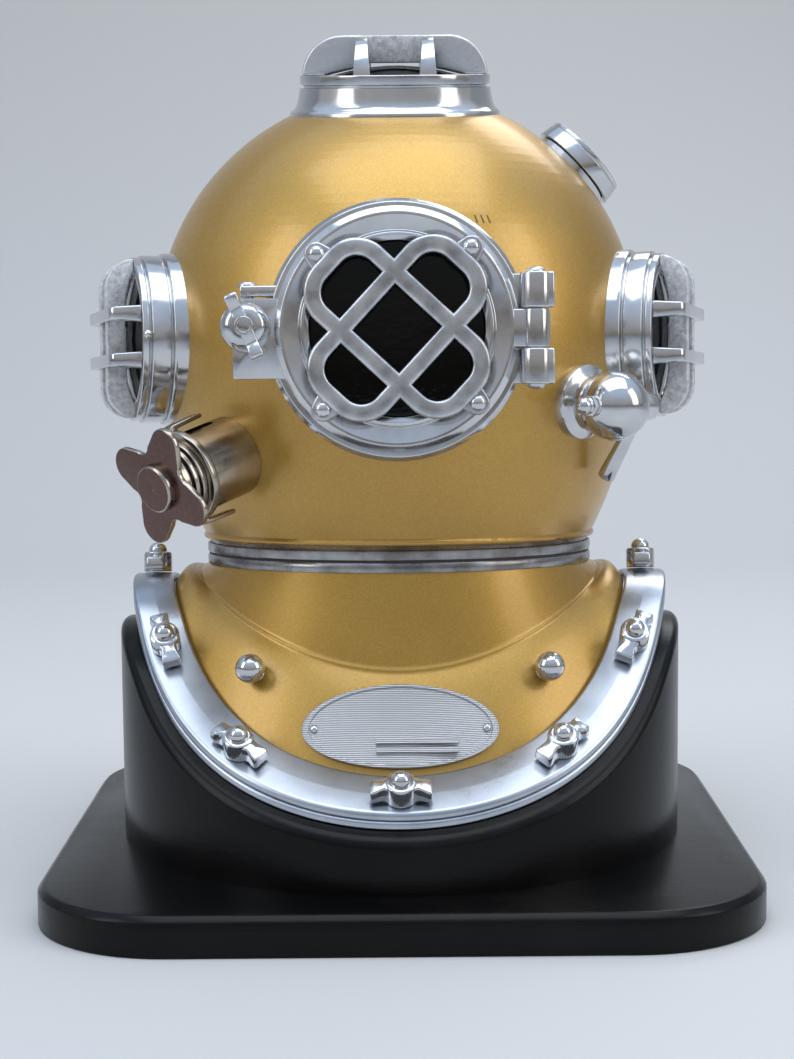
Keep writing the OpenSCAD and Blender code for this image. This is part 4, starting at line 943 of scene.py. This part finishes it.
# Port guards
# Rough castings: two deep arches side by side, crossed by two narrower straps. The straps were
# polished, and the top guard's shoulders filed bright. All stand on the seat's rim at their ends.
cast_grey, sheet, shader = new_material("cast_grey")
shader.inputs["Metallic"].default_value = 0.4
surface = node(sheet, "TexCoord")
grit = node(sheet, "TexNoise", Scale=330, Detail=8, Roughness=0.65)
lumps = node(sheet, "TexNoise", Scale=70, Detail=4)
grit_tone = two_tone(sheet, (0.44, 0.44, 0.45), (0.80, 0.80, 0.80), 0.32, 0.62)
grit_range = between(sheet, 0.34, 0.6)
lump_bump = node(sheet, "Bump", Strength=0.2, Distance=0.0016)
grit_bump = node(sheet, "Bump", Strength=0.3, Distance=0.0005)
wire(sheet, surface.outputs["Object"], grit.inputs["Vector"],
     surface.outputs["Object"], lumps.inputs["Vector"],
     grit.outputs["Fac"], grit_tone.inputs["Fac"],
     grit_tone.outputs["Color"], shader.inputs["Base Color"],
     lumps.outputs["Fac"], grit_range.inputs["Value"],
     grit_range.outputs["Result"], shader.inputs["Roughness"],
     lumps.outputs["Fac"], lump_bump.inputs["Height"],
     grit.outputs["Fac"], grit_bump.inputs["Height"],
     lump_bump.outputs["Normal"], grit_bump.inputs["Normal"],
     grit_bump.outputs["Normal"], shader.inputs["Normal"])

filed_metal, sheet, shader = new_material("filed_metal")
shader.inputs["Metallic"].default_value = 0.7
file_marks = node(sheet, "TexNoise", Scale=40, Detail=5)
filed_tone = two_tone(sheet, (0.50, 0.51, 0.53), (0.72, 0.73, 0.75))
filed_range = between(sheet, 0.22, 0.42)
filed_bump = node(sheet, "Bump", Strength=0.12, Distance=0.0012)
wire(sheet, file_marks.outputs["Fac"], filed_tone.inputs["Fac"],
     filed_tone.outputs["Color"], shader.inputs["Base Color"],
     file_marks.outputs["Fac"], filed_range.inputs["Value"],
     filed_range.outputs["Result"], shader.inputs["Roughness"],
     file_marks.outputs["Fac"], filed_bump.inputs["Height"],
     filed_bump.outputs["Normal"], shader.inputs["Normal"])


def arch_outline(half, height, corner, low):
    """Side view of a strap: round shoulders outside, a flatter opening inside."""
    outer = arc_points(half - corner, height - corner, corner, 0, 90, 9)
    outer += arc_points(corner - half, height - corner, corner, 90, 180, 9)
    foot = half - max(corner * 0.28, 4.6)
    inner = [(-foot, 0), (-foot + 0.4, low * 0.3), (-half * 0.7, low * 0.82), (-half * 0.56, low)]
    return [(half, 0)] + outer + [(-half, 0)] + inner + [(-x, y) for x, y in reversed(inner)]


def flat_bar(name, outline, width, bevel, place):
    """A bar cut to an outline in XZ, with its width along Y."""
    return prism(name, outline, -width / 2, width / 2, bevel, place @ turn("X", 90))


def port_guard(rim_r, reach, height, arch_at, strap_at, strap_h, strap_w, strap_corner, taper, slot,
               place):
    """One guard as three lists: the middles and the shoulders of its arches, and its straps.
    slot gives the hollow under an arch, as shares of its way out and heights."""
    arch_t, corner, foot = 7.6, height + 1, reach - 0.2
    arch_half = math.sqrt((rim_r + 0.8) ** 2 - (arch_at + arch_t / 2) ** 2)
    strap_half = math.sqrt((rim_r - 0.5) ** 2 - (strap_at + strap_w / 2) ** 2)
    slot_h = slot[0][1]
    middles, shoulders, straps = [], [], []
    for s in (-1, 1):
        along = place @ shift(0, s * arch_at, foot)
        middle = oblong(-strap_at, slot_h, strap_at, height - 0.3)
        middles.append(flat_bar("middle", middle, arch_t - 0.6, 0.9, along))
        round_end = arc_points(arch_half - corner, height - corner, corner, 0, 90, 14)
        round_end = [(x, y) for x, y in round_end if y > 0]
        shoulder = [(round_end[0][0], 0)] + round_end + [(strap_at - 1, height)]
        shoulder += [(strap_at - 1 + (arch_half - strap_at) * t, y) for t, y in slot]
        for turned_by in (0, 180):
            shoulders.append(flat_bar("shoulder", shoulder, arch_t, 2.4,
                                      place @ turn("Z", turned_by) @ shift(0, s * arch_at, foot)))
        strap = flat_bar("strap", arch_outline(strap_half, strap_h, strap_corner, strap_h * 0.74),
                         strap_w, 1.2, place @ shift(s * strap_at, 0, foot) @ turn("Z", 90))
        for v in strap.data.vertices:
            v.co.z *= 1 - taper * v.co.y / (strap_h * mm)
        straps.append(strap)
    return middles, shoulders, straps


middles, shoulders, straps = port_guard(
    top_rim_r, top_reach, height=23.5, arch_at=14, strap_at=19.5, strap_h=22, strap_w=9.8,
    strap_corner=24, taper=0.36, slot=[(0, 7), (0.12, 4), (0.34, 2.4), (0.62, 0)], place=at_top)
guard_pieces = [(gather("top_port_arch_middles", middles), cast_grey, "top"),
                (gather("top_port_arch_shoulders", shoulders), filed_metal, "top"),
                (gather("top_port_straps", straps), polished_metal, "top")]
for side, place in at_sides.items():
    middles, shoulders, straps = port_guard(
        rim_r, side_reach, height=17, arch_at=12, strap_at=13.5, strap_h=19.2, strap_w=10.0,
        strap_corner=5.5, taper=0.26, slot=[(0, 5.5), (0.4, 4.6), (0.66, 2.4), (0.86, 0)],
        place=place @ turn("Z", 90))
    guard_pieces += [(gather(side + "_port_arches", middles + shoulders), cast_grey, side),
                     (gather(side + "_port_straps", straps), polished_metal, side)]
for piece, finish, side in guard_pieces:
    piece.data.materials.append(finish)
    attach(piece, "bonnet")
    if "middles" in piece.name or "arches" in piece.name:
        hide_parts(side + "_port_guard")

# Door seat and hinge
# The front window opens. Its seat is a thick machined ring brazed to the shell, with two hinge
# knuckles on the right and two ears on the left, which hold the clasp pin and its bolt.
seat_r, seat_bore_r, seat_reach = 73, 54, 149.74
door_back, door_front, pin_z, hinge_x = 150.04, 160.04, 155.04, 76.5
knuckle_r, pin_r, hinge_half, knuckle_mid, knuckle_gap = 9, 3.5, 30.75, 21.3, 0.4
clasp_x, clasp_y, lug_low_y, lug_high_y, ear_t = 83.2, 1.9, -26.8, 17.5, 6
at_door = at_port(0, port_level)

seat_section = rounded_section([(seat_bore_r, 120), (seat_bore_r, seat_reach),
                                (seat_r - 2.4, seat_reach), (seat_r, seat_reach - 4.4),
                                (seat_r, 120)], 1.0, 4)
seat_face = [tuple(p) for p in seat_section if p[1] > 141]
parts = [seated("seat", [(seat_bore_r, None)] + seat_face + [(seat_r, None)], at_door, 60)]


def knuckle(low, high, r):
    """A hinge knuckle along Y with eased ends."""
    upright = at_door @ shift(hinge_x, 0, pin_z) @ turn("X", -90)
    return turned("knuckle", rounded_section(oblong(0, low, r, high), 1.1, 4), upright, steps=48)


mid = knuckle_mid / 2 + knuckle_gap
for s in (-1, 1):
    low, high = (mid, hinge_half) if s > 0 else (-hinge_half, -mid)
    parts.append(knuckle(low, high, knuckle_r))
    square_end = oblong(hinge_x - 1, low + 0.1, hinge_x + knuckle_r + 0.9, high - 0.1)
    parts.append(prism("square_end", square_end, pin_z - 7, pin_z + 6.4, 1.2, at_door))
    parts.append(prism("strap", oblong(seat_r - 12, low + 0.4, hinge_x, high - 0.4),
                       seat_reach - 10, seat_reach - 0.4, 0.8, at_door))
for past_clasp, root_x, low in ((3.8, -48, 19), (6.8, -27, -15)):
    parts.append(prism("ear", oblong(-clasp_x - past_clasp, low, root_x, low + ear_t),
                       seat_reach - 14, seat_reach - 0.5, 1.1, at_door))
door_seat = gather("door_seat_ring", parts)


def pin(name, x, z, low, high, r):
    """A pin along Y with a low domed head at each end."""
    upright = at_door @ shift(x, 0, z) @ turn("X", -90)
    head = [(r + 2, -0.3), (r + 1.9, 0.6), (r + 1.2, 1.9), (r * 0.6, 2.9), (0, 3.3)]
    profile = [(0, low - 3.3)] + [(a, low - b) for a, b in reversed(head[:-1])]
    profile += [(r, low - 0.2), (r, high + 0.2)] + [(a, high + b) for a, b in head]
    return turned(name, profile, upright, steps=40, crease=50)


hinge_pin = pin("hinge_pin_headed", hinge_x, pin_z, -hinge_half, hinge_half, pin_r)
clasp_pin = pin("clasp_pin_headed", -clasp_x, seat_reach - 8, -15, 25, pin_r)
for piece, hidden in ((door_seat, "door_seat"), (hinge_pin, "hinge_pin"), (clasp_pin, "clasp_pin")):
    piece.data.materials.append(polished_metal)
    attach(piece, "bonnet")
    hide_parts(hidden)
coat_solid("clasp_bolt", polished_metal)

# Door
# A polished cast ring with a bevelled face and a raised lip round the glass. It carries the middle
# hinge knuckle on the right and, on the left, the slotted plate that the clasp nut bears on.
door_r, door_open_r, slot_half, lug_end, lug_root = 67.6, 48.5, 5, -clasp_x - 7.5, -60
ring_profile = rounded_section([
    (door_open_r, door_front - 3), (door_open_r + 3.4, door_front - 3),
    (door_open_r + 3.4, door_back), (door_r, door_back), (door_r, door_front - 3),
    (door_r - 3.4, door_front), (door_r - 5, door_front),
    (door_open_r + 6, door_front - 2.6), (door_open_r + 4.5, door_front - 0.4),
    (door_open_r + 3, door_front), (door_open_r, door_front - 1.2)], 0.7, 3)
parts = [turned("ring", ring_profile, at_door, steps=180),
         knuckle(-knuckle_mid / 2, knuckle_mid / 2, knuckle_r - 1.2),
         prism("strap", oblong(door_r - 4, -knuckle_mid / 2 + 0.3, hinge_x, knuckle_mid / 2 - 0.3),
               door_back + 0.2, door_front, 0.8, at_door)]
clasp_slot = [(lug_end, clasp_y + slot_half), (-clasp_x, clasp_y + slot_half)]
clasp_slot += arc_points(-clasp_x, clasp_y, slot_half, 75, -75, 8)
clasp_slot += [(-clasp_x, clasp_y - slot_half), (lug_end, clasp_y - slot_half)]
lug_outline = [(lug_root, lug_low_y), (lug_root, lug_high_y), (lug_end, lug_high_y)] + clasp_slot
lug_outline.append((lug_end, lug_low_y))
parts.append(prism("lug", lug_outline, door_back, door_back + 7, 0.9, at_door, segments=2))
door_ring = gather("door_ring_bevelled", parts)
door_ring.data.materials.append(polished_metal)
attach(door_ring, "door")
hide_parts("door_ring")
door_lens = lens("door_lens", door_open_r + 0.4, door_front - 8, door_front - 3.4, 1.2, at_door)
door_lens.data.materials.append(dark_glass)
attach(door_lens, "door")
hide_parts("door_glass")
rubber, sheet, shader = new_material("black_rubber")
shader.inputs["Roughness"].default_value = 0.7
crumb = node(sheet, "TexNoise", Scale=500)
crumb_tone = two_tone(sheet, (0.010, 0.010, 0.010), (0.028, 0.028, 0.028))
wire(sheet, crumb.outputs["Fac"], crumb_tone.inputs["Fac"],
     crumb_tone.outputs["Color"], shader.inputs["Base Color"])
coat_solid("door_gasket", rubber)

# Door grille
# Two long loops cast as one and buffed smooth, crossed at a right angle over the glass; each loop
# ends in a tab that a dome-headed screw holds to the door.
loop_l, loop_w, loop_corner, grille_bar, grille_screw_r = 113, 54, 21, 10, 60
loop_turns = (-43, 47, 137, 227)


def loop_bar(place):
    """One loop: a rounded rectangle swept with a crowned bar section."""
    half = grille_bar / 2
    corner = loop_corner - half
    hx, hy = loop_l / 2 - half - corner, loop_w / 2 - half - corner
    path = []
    for k, (sx, sy) in enumerate([(1, 1), (-1, 1), (-1, -1), (1, -1)]):
        for i in range(13):
            a = math.radians(90 * (k + i / 12))
            path.append((sx * hx + corner * math.cos(a), sy * hy + corner * math.sin(a), a))
    section = [(-half, 0.5), (-half, 3.2), (-half + 0.35, 4.1), (-half + 1.1, 4.75),
               (-half + 2.2, 5.0), (0, 5.1), (half - 2.2, 5.0), (half - 1.1, 4.75),
               (half - 0.35, 4.1), (half, 3.2), (half, 0.5), (half - 0.6, 0), (0.6 - half, 0)]
    rings = [[(x + s * math.cos(a), y + s * math.sin(a), door_front + 2.5 + z) for s, z in section]
             for x, y, a in path]
    return skin("loop", rings, place, crease=60)


parts = [loop_bar(at_door @ turn("Z", a)) for a in loop_turns[:2]]
tab = arc_points(grille_screw_r, 0, 6.6, -70, 70, 10)
tab += [(loop_l / 2 - 3, 8.4), (loop_l / 2 - 9, 10), (loop_l / 2 - 9, -10), (loop_l / 2 - 3, -8.4)]
for a in loop_turns:
    parts.append(prism("tab", tab, door_front - 0.6, door_front + 4.0, 1.2, at_door @ turn("Z", a)))
door_grille = gather("door_grille_loops", parts)
satin_metal, sheet, shader = new_material("satin_metal")
shader.inputs["Metallic"].default_value = 1
surface = node(sheet, "TexCoord")
buff = node(sheet, "TexNoise", Scale=90, Detail=6)
buff_tone = two_tone(sheet, (0.44, 0.445, 0.46), (0.66, 0.66, 0.66), 0.38, 0.62)
buff_range = between(sheet, 0.2, 0.4)
buff_bump = node(sheet, "Bump", Strength=0.06, Distance=0.0006)
wire(sheet, surface.outputs["Object"], buff.inputs["Vector"],
     buff.outputs["Fac"], buff_tone.inputs["Fac"],
     buff_tone.outputs["Color"], shader.inputs["Base Color"],
     buff.outputs["Fac"], buff_range.inputs["Value"],
     buff_range.outputs["Result"], shader.inputs["Roughness"],
     buff.outputs["Fac"], buff_bump.inputs["Height"],
     buff_bump.outputs["Normal"], shader.inputs["Normal"])
door_grille.data.materials.append(satin_metal)
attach(door_grille, "door")
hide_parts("door_grille")

head_profile = [(0, 3.4), (4.3, 3.5), (4.6, 4.1), (4.2, 5.4), (3.2, 6.4), (1.8, 7.0), (0, 7.2)]
heads = []
for a in loop_turns:
    spot = at_door @ turn("Z", a) @ shift(grille_screw_r, 0, 0)
    heads.append(turned("head", [(r, door_front + z) for r, z in head_profile], spot, steps=36,
                        crease=50))
grille_screws = gather("grille_screw_domes", heads)
grille_screws.data.materials.append(polished_metal)
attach(grille_screws, "door")
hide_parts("grille_screws")

# Clasp nut
# The door is drawn shut by one large domed wing nut on the clasp bolt; its wing is a bar across
# the dome with square ends, and the bolt shows in the hole through its top.
clasp_base, clasp_nut_r, wing_end, wing_turn = door_back + 7.3, 14, 19, 114
at_nut = at_door @ shift(-clasp_x, clasp_y, clasp_base)
dome_profile = [(2.9, 0.2), (clasp_nut_r - 0.6, 0.0), (clasp_nut_r, 0.6), (clasp_nut_r, 2.6),
                (clasp_nut_r - 0.4, 4.8)]
dome_profile += dome_points(clasp_nut_r, clasp_nut_r, 3, (14, 22, 30, 38, 45))
dome_profile += [(7.4, 13.5), (6.9, 13.6), (3.6, 13.4), (2.9, 12.8)]
half_wing = [(5.4, 15.4), (7.6, 14.6), (10.4, 13.8), (13.2, 15.6), (wing_end - 1.4, 16.2),
             (wing_end, 15.0), (wing_end, 7.0), (clasp_nut_r - 2, 5.6)]
wing = half_wing + [(-x, z) for x, z in reversed(half_wing)]
hole_rim = rounded_section([(3.4, 11.5), (3.4, 16.4), (5.0, 16.4), (6.0, 11.5)], 0.5, 3)
bolt_end = [(1.1, 13.2), (1.1, 14.0), (1.6, 14.5), (2.6, 14.5), (3.0, 14.1), (3.0, 12.5), (0, 12.5),
            (0, 13.2)]
parts = [turned("dome", dome_profile, at_nut, steps=72),
         flat_bar("wing", wing, 7.4, 1.1, at_nut @ turn("Z", wing_turn)),
         turned("hole_rim", hole_rim, at_nut, steps=48),
         turned("bolt_end", bolt_end, at_nut, steps=32)]
clasp_nut = gather("clasp_wing_nut", parts)
clasp_nut.data.materials.append(polished_metal)
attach(clasp_nut, "clasp_nut")
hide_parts("clasp_nut")

# Exhaust valve
# Spent air leaves by the valve low on the left, through the slots of a plated housing that is
# brazed to the shell. A disc on a spindle closes it from inside.
exhaust_r, exhaust_len = 23.5, 34
at_exhaust = at_wall(-44, -73, 17)

warm_nickel, sheet, shader = new_material("warm_nickel")
shader.inputs["Metallic"].default_value = 1
surface = node(sheet, "TexCoord")
tarnish = node(sheet, "TexNoise", Scale=30, Detail=6)
tarnish_tone = two_tone(sheet, (0.36, 0.31, 0.26), (0.50, 0.45, 0.39), 0.35, 0.65)
lap_map = node(sheet, "Mapping", Scale=(70, 70, 4))
lap = node(sheet, "TexNoise", Scale=4, Detail=4)
lap_range = between(sheet, 0.12, 0.32)
lap_bump = node(sheet, "Bump", Strength=0.10, Distance=0.0003)
wire(sheet, surface.outputs["Object"], tarnish.inputs["Vector"],
     surface.outputs["Object"], lap_map.inputs["Vector"],
     lap_map.outputs["Vector"], lap.inputs["Vector"],
     tarnish.outputs["Fac"], tarnish_tone.inputs["Fac"],
     tarnish_tone.outputs["Color"], shader.inputs["Base Color"],
     lap.outputs["Fac"], lap_range.inputs["Value"],
     lap_range.outputs["Result"], shader.inputs["Roughness"],
     lap.outputs["Fac"], lap_bump.inputs["Height"],
     lap_bump.outputs["Normal"], shader.inputs["Normal"])
for name in ("exhaust_housing", "exhaust_spindle", "exhaust_disc"):
    coat_solid(name, warm_nickel)

# Exhaust spring
# Round steel wire coiled about the spindle, between the disc and the cap.
coil_r, coil_wire, coil_low, coil_high, coil_turns, disc_lift = 8.25, 0.65, 10.05, 35.25, 7, 3
around_turn, around_wire = 24, 10
coil = []
for i in range(coil_turns * around_turn + 1):
    a = 2 * math.pi * i / around_turn
    z = coil_low + (coil_high - coil_low) * i / (coil_turns * around_turn)
    ring = []
    for j in range(around_wire):
        b = 2 * math.pi * j / around_wire
        r = coil_r + coil_wire * math.cos(b)
        ring.append((r * math.cos(a), r * math.sin(a), z + coil_wire * math.sin(b)))
    coil.append(ring)
exhaust_coil = skin("exhaust_coil", coil, at_exhaust, wrap=False)
exhaust_coil.data.materials.append(screw_steel)
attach(exhaust_coil, "bonnet")
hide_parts("exhaust_spring")
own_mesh(exhaust_coil)

# Exhaust collar and cap
# The collar is held over the housing by two arms, and a stepped cap closes its end round the
# spindle. Both are turned and plated like the housing.
collar_h, cap_h, stem_r = 5, 13, 4
cap_low = exhaust_len + collar_h
collar_section = rounded_section(oblong(exhaust_r - 5, exhaust_len, exhaust_r + 3.5, cap_low), 1.3, 4)
arm = [(exhaust_r + x, exhaust_len + z) for x, z in (
    (-1, 4.2), (3.4, 4.2), (5.4, 3.2), (6.2, 1), (7.2, -20), (5.9, -21.5), (4.4, -20.6), (3.4, -1.4),
    (-1, 0.2))]
parts = [turned("collar", collar_section, at_exhaust, steps=96)]
parts += [flat_bar("arm", arm, 9, 1.2, at_exhaust @ turn("Z", a)) for a in (99, 279)]
exhaust_collar = gather("exhaust_clamp_collar", parts)
cap_steps = [(exhaust_r + x, cap_low + z) for x, z in (
    (-5.2, -3), (-5.2, 0.05), (-1, 0.05), (-1, 3.6), (-3.4, 4.2), (-3.4, 6.6), (-6, 7.4), (-6, cap_h))]
cap_section = [(stem_r + 0.1, cap_low - 3)] + cap_steps + [(stem_r + 0.1, cap_low + cap_h)]
exhaust_cap = turned("exhaust_stepped_cap", rounded_section(cap_section, 0.8, 3), at_exhaust,
                     steps=96)
for piece, hidden in ((exhaust_collar, "exhaust_collar"), (exhaust_cap, "exhaust_cap")):
    piece.data.materials.append(warm_nickel)
    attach(piece, "bonnet")
    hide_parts(hidden)

# Exhaust wheel
# A cast handwheel with four lobes and a round boss, rubbed bright on its edge. Its faces are dark
# brown, partly the casting's own colour and partly painted dark reflection. It is turned by hand to
# load the spring.
wheel_r, wheel_z, wheel_t, wheel_turn, lobe_r, notch_r = 37, 52.3, 3.5, 62, 10.5, 7
lobe = arc_points(wheel_r - lobe_r, 0, lobe_r, -82, 82, 16)
notch = arc_points(wheel_r * 0.56 + notch_r - 1.2, 0, notch_r - 1.0, 235, 125, 10)
wheel_outline = []
for quarter in (0, 90, 180, 270):
    for points, around in ((lobe, quarter), (notch, quarter + 45)):
        c, s = math.cos(math.radians(around)), math.sin(math.radians(around))
        wheel_outline += [(x * c - y * s, x * s + y * c) for x, y in points]
at_wheel = at_exhaust @ shift(0, 0, wheel_z) @ turn("Z", wheel_turn)
boss_section = rounded_section([(0, wheel_t - 0.2), (14, wheel_t - 0.2), (13.7, wheel_t + 4.2),
                                (12.6, wheel_t + 5.0), (0, wheel_t + 5.2)], 0.7, 3)
parts = [prism("wheel", wheel_outline, 0, wheel_t, 0.9, at_wheel, segments=4),
         turned("boss", boss_section, at_wheel, steps=72)]
exhaust_wheel = gather("exhaust_lobed_wheel", parts)
bronze_and_painted_reflection, sheet, shader = new_material("bronze_and_painted_reflection")
shader.inputs["Metallic"].default_value = 1
# The faces' dark brown is partly the casting's colour and partly painted dark reflection.
face_noise = node(sheet, "TexNoise", Scale=18, Detail=3)
patina_and_dark_reflection_tone = two_tone(sheet, (0.110, 0.066, 0.056), (0.165, 0.104, 0.090))
face_rough_range = between(sheet, 0.18, 0.36)
wire(sheet, face_noise.outputs["Fac"], patina_and_dark_reflection_tone.inputs["Fac"],
     patina_and_dark_reflection_tone.outputs["Color"], shader.inputs["Base Color"],
     face_noise.outputs["Fac"], face_rough_range.inputs["Value"],
     face_rough_range.outputs["Result"], shader.inputs["Roughness"])
exhaust_wheel.data.materials.append(warm_nickel)
exhaust_wheel.data.materials.append(bronze_and_painted_reflection)
# Faces that look along the axis take the dark brown with its painted reflection; the edge stays plated.
wheel_axis = (at_wheel.to_3x3() @ Vector((0, 0, 1))).normalized()
for face in exhaust_wheel.data.polygons:
    face.material_index = 1 if abs(face.normal.dot(wheel_axis)) > 0.97 else 0
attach(exhaust_wheel, "exhaust_wheel")
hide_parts("exhaust_wheel")

# Spitcock
# A ball-shaped tap low on the right: a round flange on the shell, a barrel that swells into the
# ball, a plug across it with an acorn nut at one end and a hub with a tapered lever at the other.
spit_ball_r, spit_reach, spit_foot_r, spit_bore_r, barrel_r = 20, 24, 21.8, 3.5, 15.5
plug_r, hub_r, hub_low, lever_len, lever_lean, acorn_r = 6, 8.5, spit_ball_r + 1.02, 50, 26, 4.9
at_spit = at_wall(46.5, -42.9, 7)
body_profile = [(spit_bore_r, None), (spit_bore_r, spit_reach - 12), (0, spit_reach - 12),
                (0, spit_reach + spit_ball_r)]
body_profile += dome_points(spit_ball_r, spit_ball_r, spit_reach, range(86, -39, -4))
body_profile += [(barrel_r + 0.9, 8.6), (barrel_r + 0.5, 6.9), (spit_foot_r - 2.6, 4.9),
                 (spit_foot_r - 1.2, 4.4), (spit_foot_r - 0.3, 3.7), (spit_foot_r, 2.9),
                 (spit_foot_r, None)]
spit_body = seated("spitcock_ball_body", body_profile, at_spit, -40, steps=96, crease=30)
at_plug = at_spit @ shift(0, 0, spit_reach)
along_hub = at_plug @ turn("Y", 90)
hub = rounded_section(oblong(0, hub_low, hub_r, spit_ball_r + 12), 1.2, 4)
at_lever = at_plug @ shift(spit_ball_r + 6.5, 0, 0) @ turn("X", lever_lean) @ turn("X", 90)
lever_bar = [(0, 6.2), (3.6, 6.2)]
lever_bar += [(3.6 + 1.6 * t, 6.5 + (lever_len - 7.4) * t) for t in (0.25, 0.5, 0.75, 1)]
lever_bar += [(4.9, lever_len - 0.4), (4.3, lever_len), (0, lever_len + 0.15)]
spit_lever = gather("spitcock_tapered_lever", [turned("hub", hub, along_hub, steps=56),
                                               turned("bar", lever_bar, at_lever, steps=40)])
plug = rounded_section(oblong(0, -spit_ball_r - 1, plug_r, spit_ball_r + 1), 0.3, 2)
spit_plug = gather("spitcock_cross_plug", [turned("plug", plug, along_hub, steps=48)])
hexagon = arc_points(0, 0, 6.5, 0, 300, 5)
acorn = [(0, 3.8), (4.8, 3.8), (5.0, 4.3), (4.6, 5.0), (4.4, 5.7)]
acorn += dome_points(acorn_r, acorn_r, 7.2, range(-18, 88, 12)) + [(0, 12.1)]
along_nut = at_plug @ turn("Y", -90) @ shift(0, 0, hub_low)
spit_acorn = gather("spitcock_acorn_nut", [prism("nut", hexagon, 0, 4, 0.5, along_nut),
                                           turned("acorn", acorn, along_nut, steps=40)])
for piece, hidden, body in ((spit_body, "spitcock_body", "bonnet"),
                            (spit_plug, "spitcock_plug", "spitcock"),
                            (spit_lever, "spitcock_lever", "spitcock"),
                            (spit_acorn, "spitcock_acorn", "spitcock")):
    piece.data.materials.append(polished_metal)
    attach(piece, body)
    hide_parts(hidden)

# Telephone cup and rear elbows
# Behind the right port is the cup for the telephone with its screwed cap, and at the back two
# elbows take the air hose and the telephone cable.
phone_cap_r, cup_r, cup_bore_r = 28, 18, 13.5
at_cup = at_dome @ turn("Z", 92) @ turn("X", 47) @ shift(0, 0, dome_r)
cup_out = phone_cap_r - 1.6
cup_section = [(cup_bore_r, None), (cup_bore_r, 2), (cup_r - 5, 2), (cup_r - 5, 5.6),
               (cup_r - 0.1, 5.6), (cup_r - 0.1, 1.2), (cup_out - 0.6, 1.2), (cup_out, 0.7),
               (cup_out, None)]
phone_cup = seated("phone_cup_wall", cup_section, at_cup, -80, steps=96)
phone_cap = turned("phone_cap_screwed", rounded_section([
    (0, 5.9), (cup_r + 0.1, 5.9), (cup_r + 0.1, 1.5), (phone_cap_r + 1.4, 1.5),
    (phone_cap_r + 0.3, 9.8), (phone_cap_r - 0.4, 10.0), (phone_cap_r - 0.4, 10.4),
    (phone_cap_r, 10.6), (phone_cap_r - 0.1, 12.6), (phone_cap_r - 1.4, 13.1), (0, 13.3)],
    0.35, 3), at_cup, steps=120)

elbow_r, elbow_bore, elbow_foot_r, elbow_bend, elbow_turn, bend_low = 14, 9, 23, 30, 70, 16
bend_steps, elbow_side, thread_count, thread_pitch = 14, 32, 7, 1.6


def elbow_piece(name, around):
    """A cast elbow: a round flange on the shell, a bend and a threaded mouth."""
    place = at_dome @ turn("Z", around) @ turn("X", 72) @ shift(0, 0, dome_r) @ turn("Z", 90)
    flare = rounded_section([(elbow_bore, 12), (elbow_r - 0.5, 12), (elbow_r + 1, 9),
                             (elbow_r + 4, 5.2), (elbow_foot_r, 4.6), (elbow_foot_r, 2)], 0.9, 3)
    foot_section = [(elbow_bore, None), (elbow_bore, 12)] + [tuple(p) for p in flare[1:]]
    foot = seated("foot", foot_section + [(elbow_foot_r, None)], place, -60, steps=96)
    stations = [(0, 8)]
    stations += [(math.radians(elbow_turn * k / bend_steps), bend_low) for k in range(bend_steps + 1)]
    outer, inner = [], []
    for rings, r in ((outer, elbow_r - 0.8), (inner, elbow_bore)):
        for a, rise in stations:
            ring = []
            for i in range(32):
                t = 2 * math.pi * i / 32
                out = elbow_bend + r * math.cos(t)
                ring.append((out * math.cos(a) - elbow_bend, r * math.sin(t),
                             rise + out * math.sin(a)))
            rings.append(ring)
    bend = skin("bend", outer + inner[::-1], place)
    end = math.radians(elbow_turn)
    mouth_foot = shift(elbow_bend * (math.cos(end) - 1), 0, bend_low + elbow_bend * math.sin(end))
    threads = [(elbow_bore, 0), (elbow_bore, 13.4), (elbow_bore + 0.8, 14), (elbow_r - 1.6, 14)]
    for k in range(thread_count):
        z = 13.0 - thread_pitch * k
        threads += [(elbow_r - 0.9, z), (elbow_r, z - 0.4), (elbow_r, z - 0.8),
                    (elbow_r - 0.9, z - 1.2)]
    threads += [(elbow_r - 0.9, 0)]
    mouth = turned("mouth", threads, place @ mouth_foot @ turn("Y", -elbow_turn), steps=64, crease=25)
    return gather(name, [foot, bend, mouth])


air_elbow = elbow_piece("air_elbow_cast", 180 - elbow_side)
phone_elbow = elbow_piece("phone_elbow_cast", 180 + elbow_side)
for piece, hidden in ((phone_cup, "phone_cup"), (phone_cap, "phone_cap"), (air_elbow, "air_elbow"),
                      (phone_elbow, "phone_elbow")):
    piece.data.materials.append(polished_metal)
    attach(piece, "bonnet")
    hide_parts(hidden)
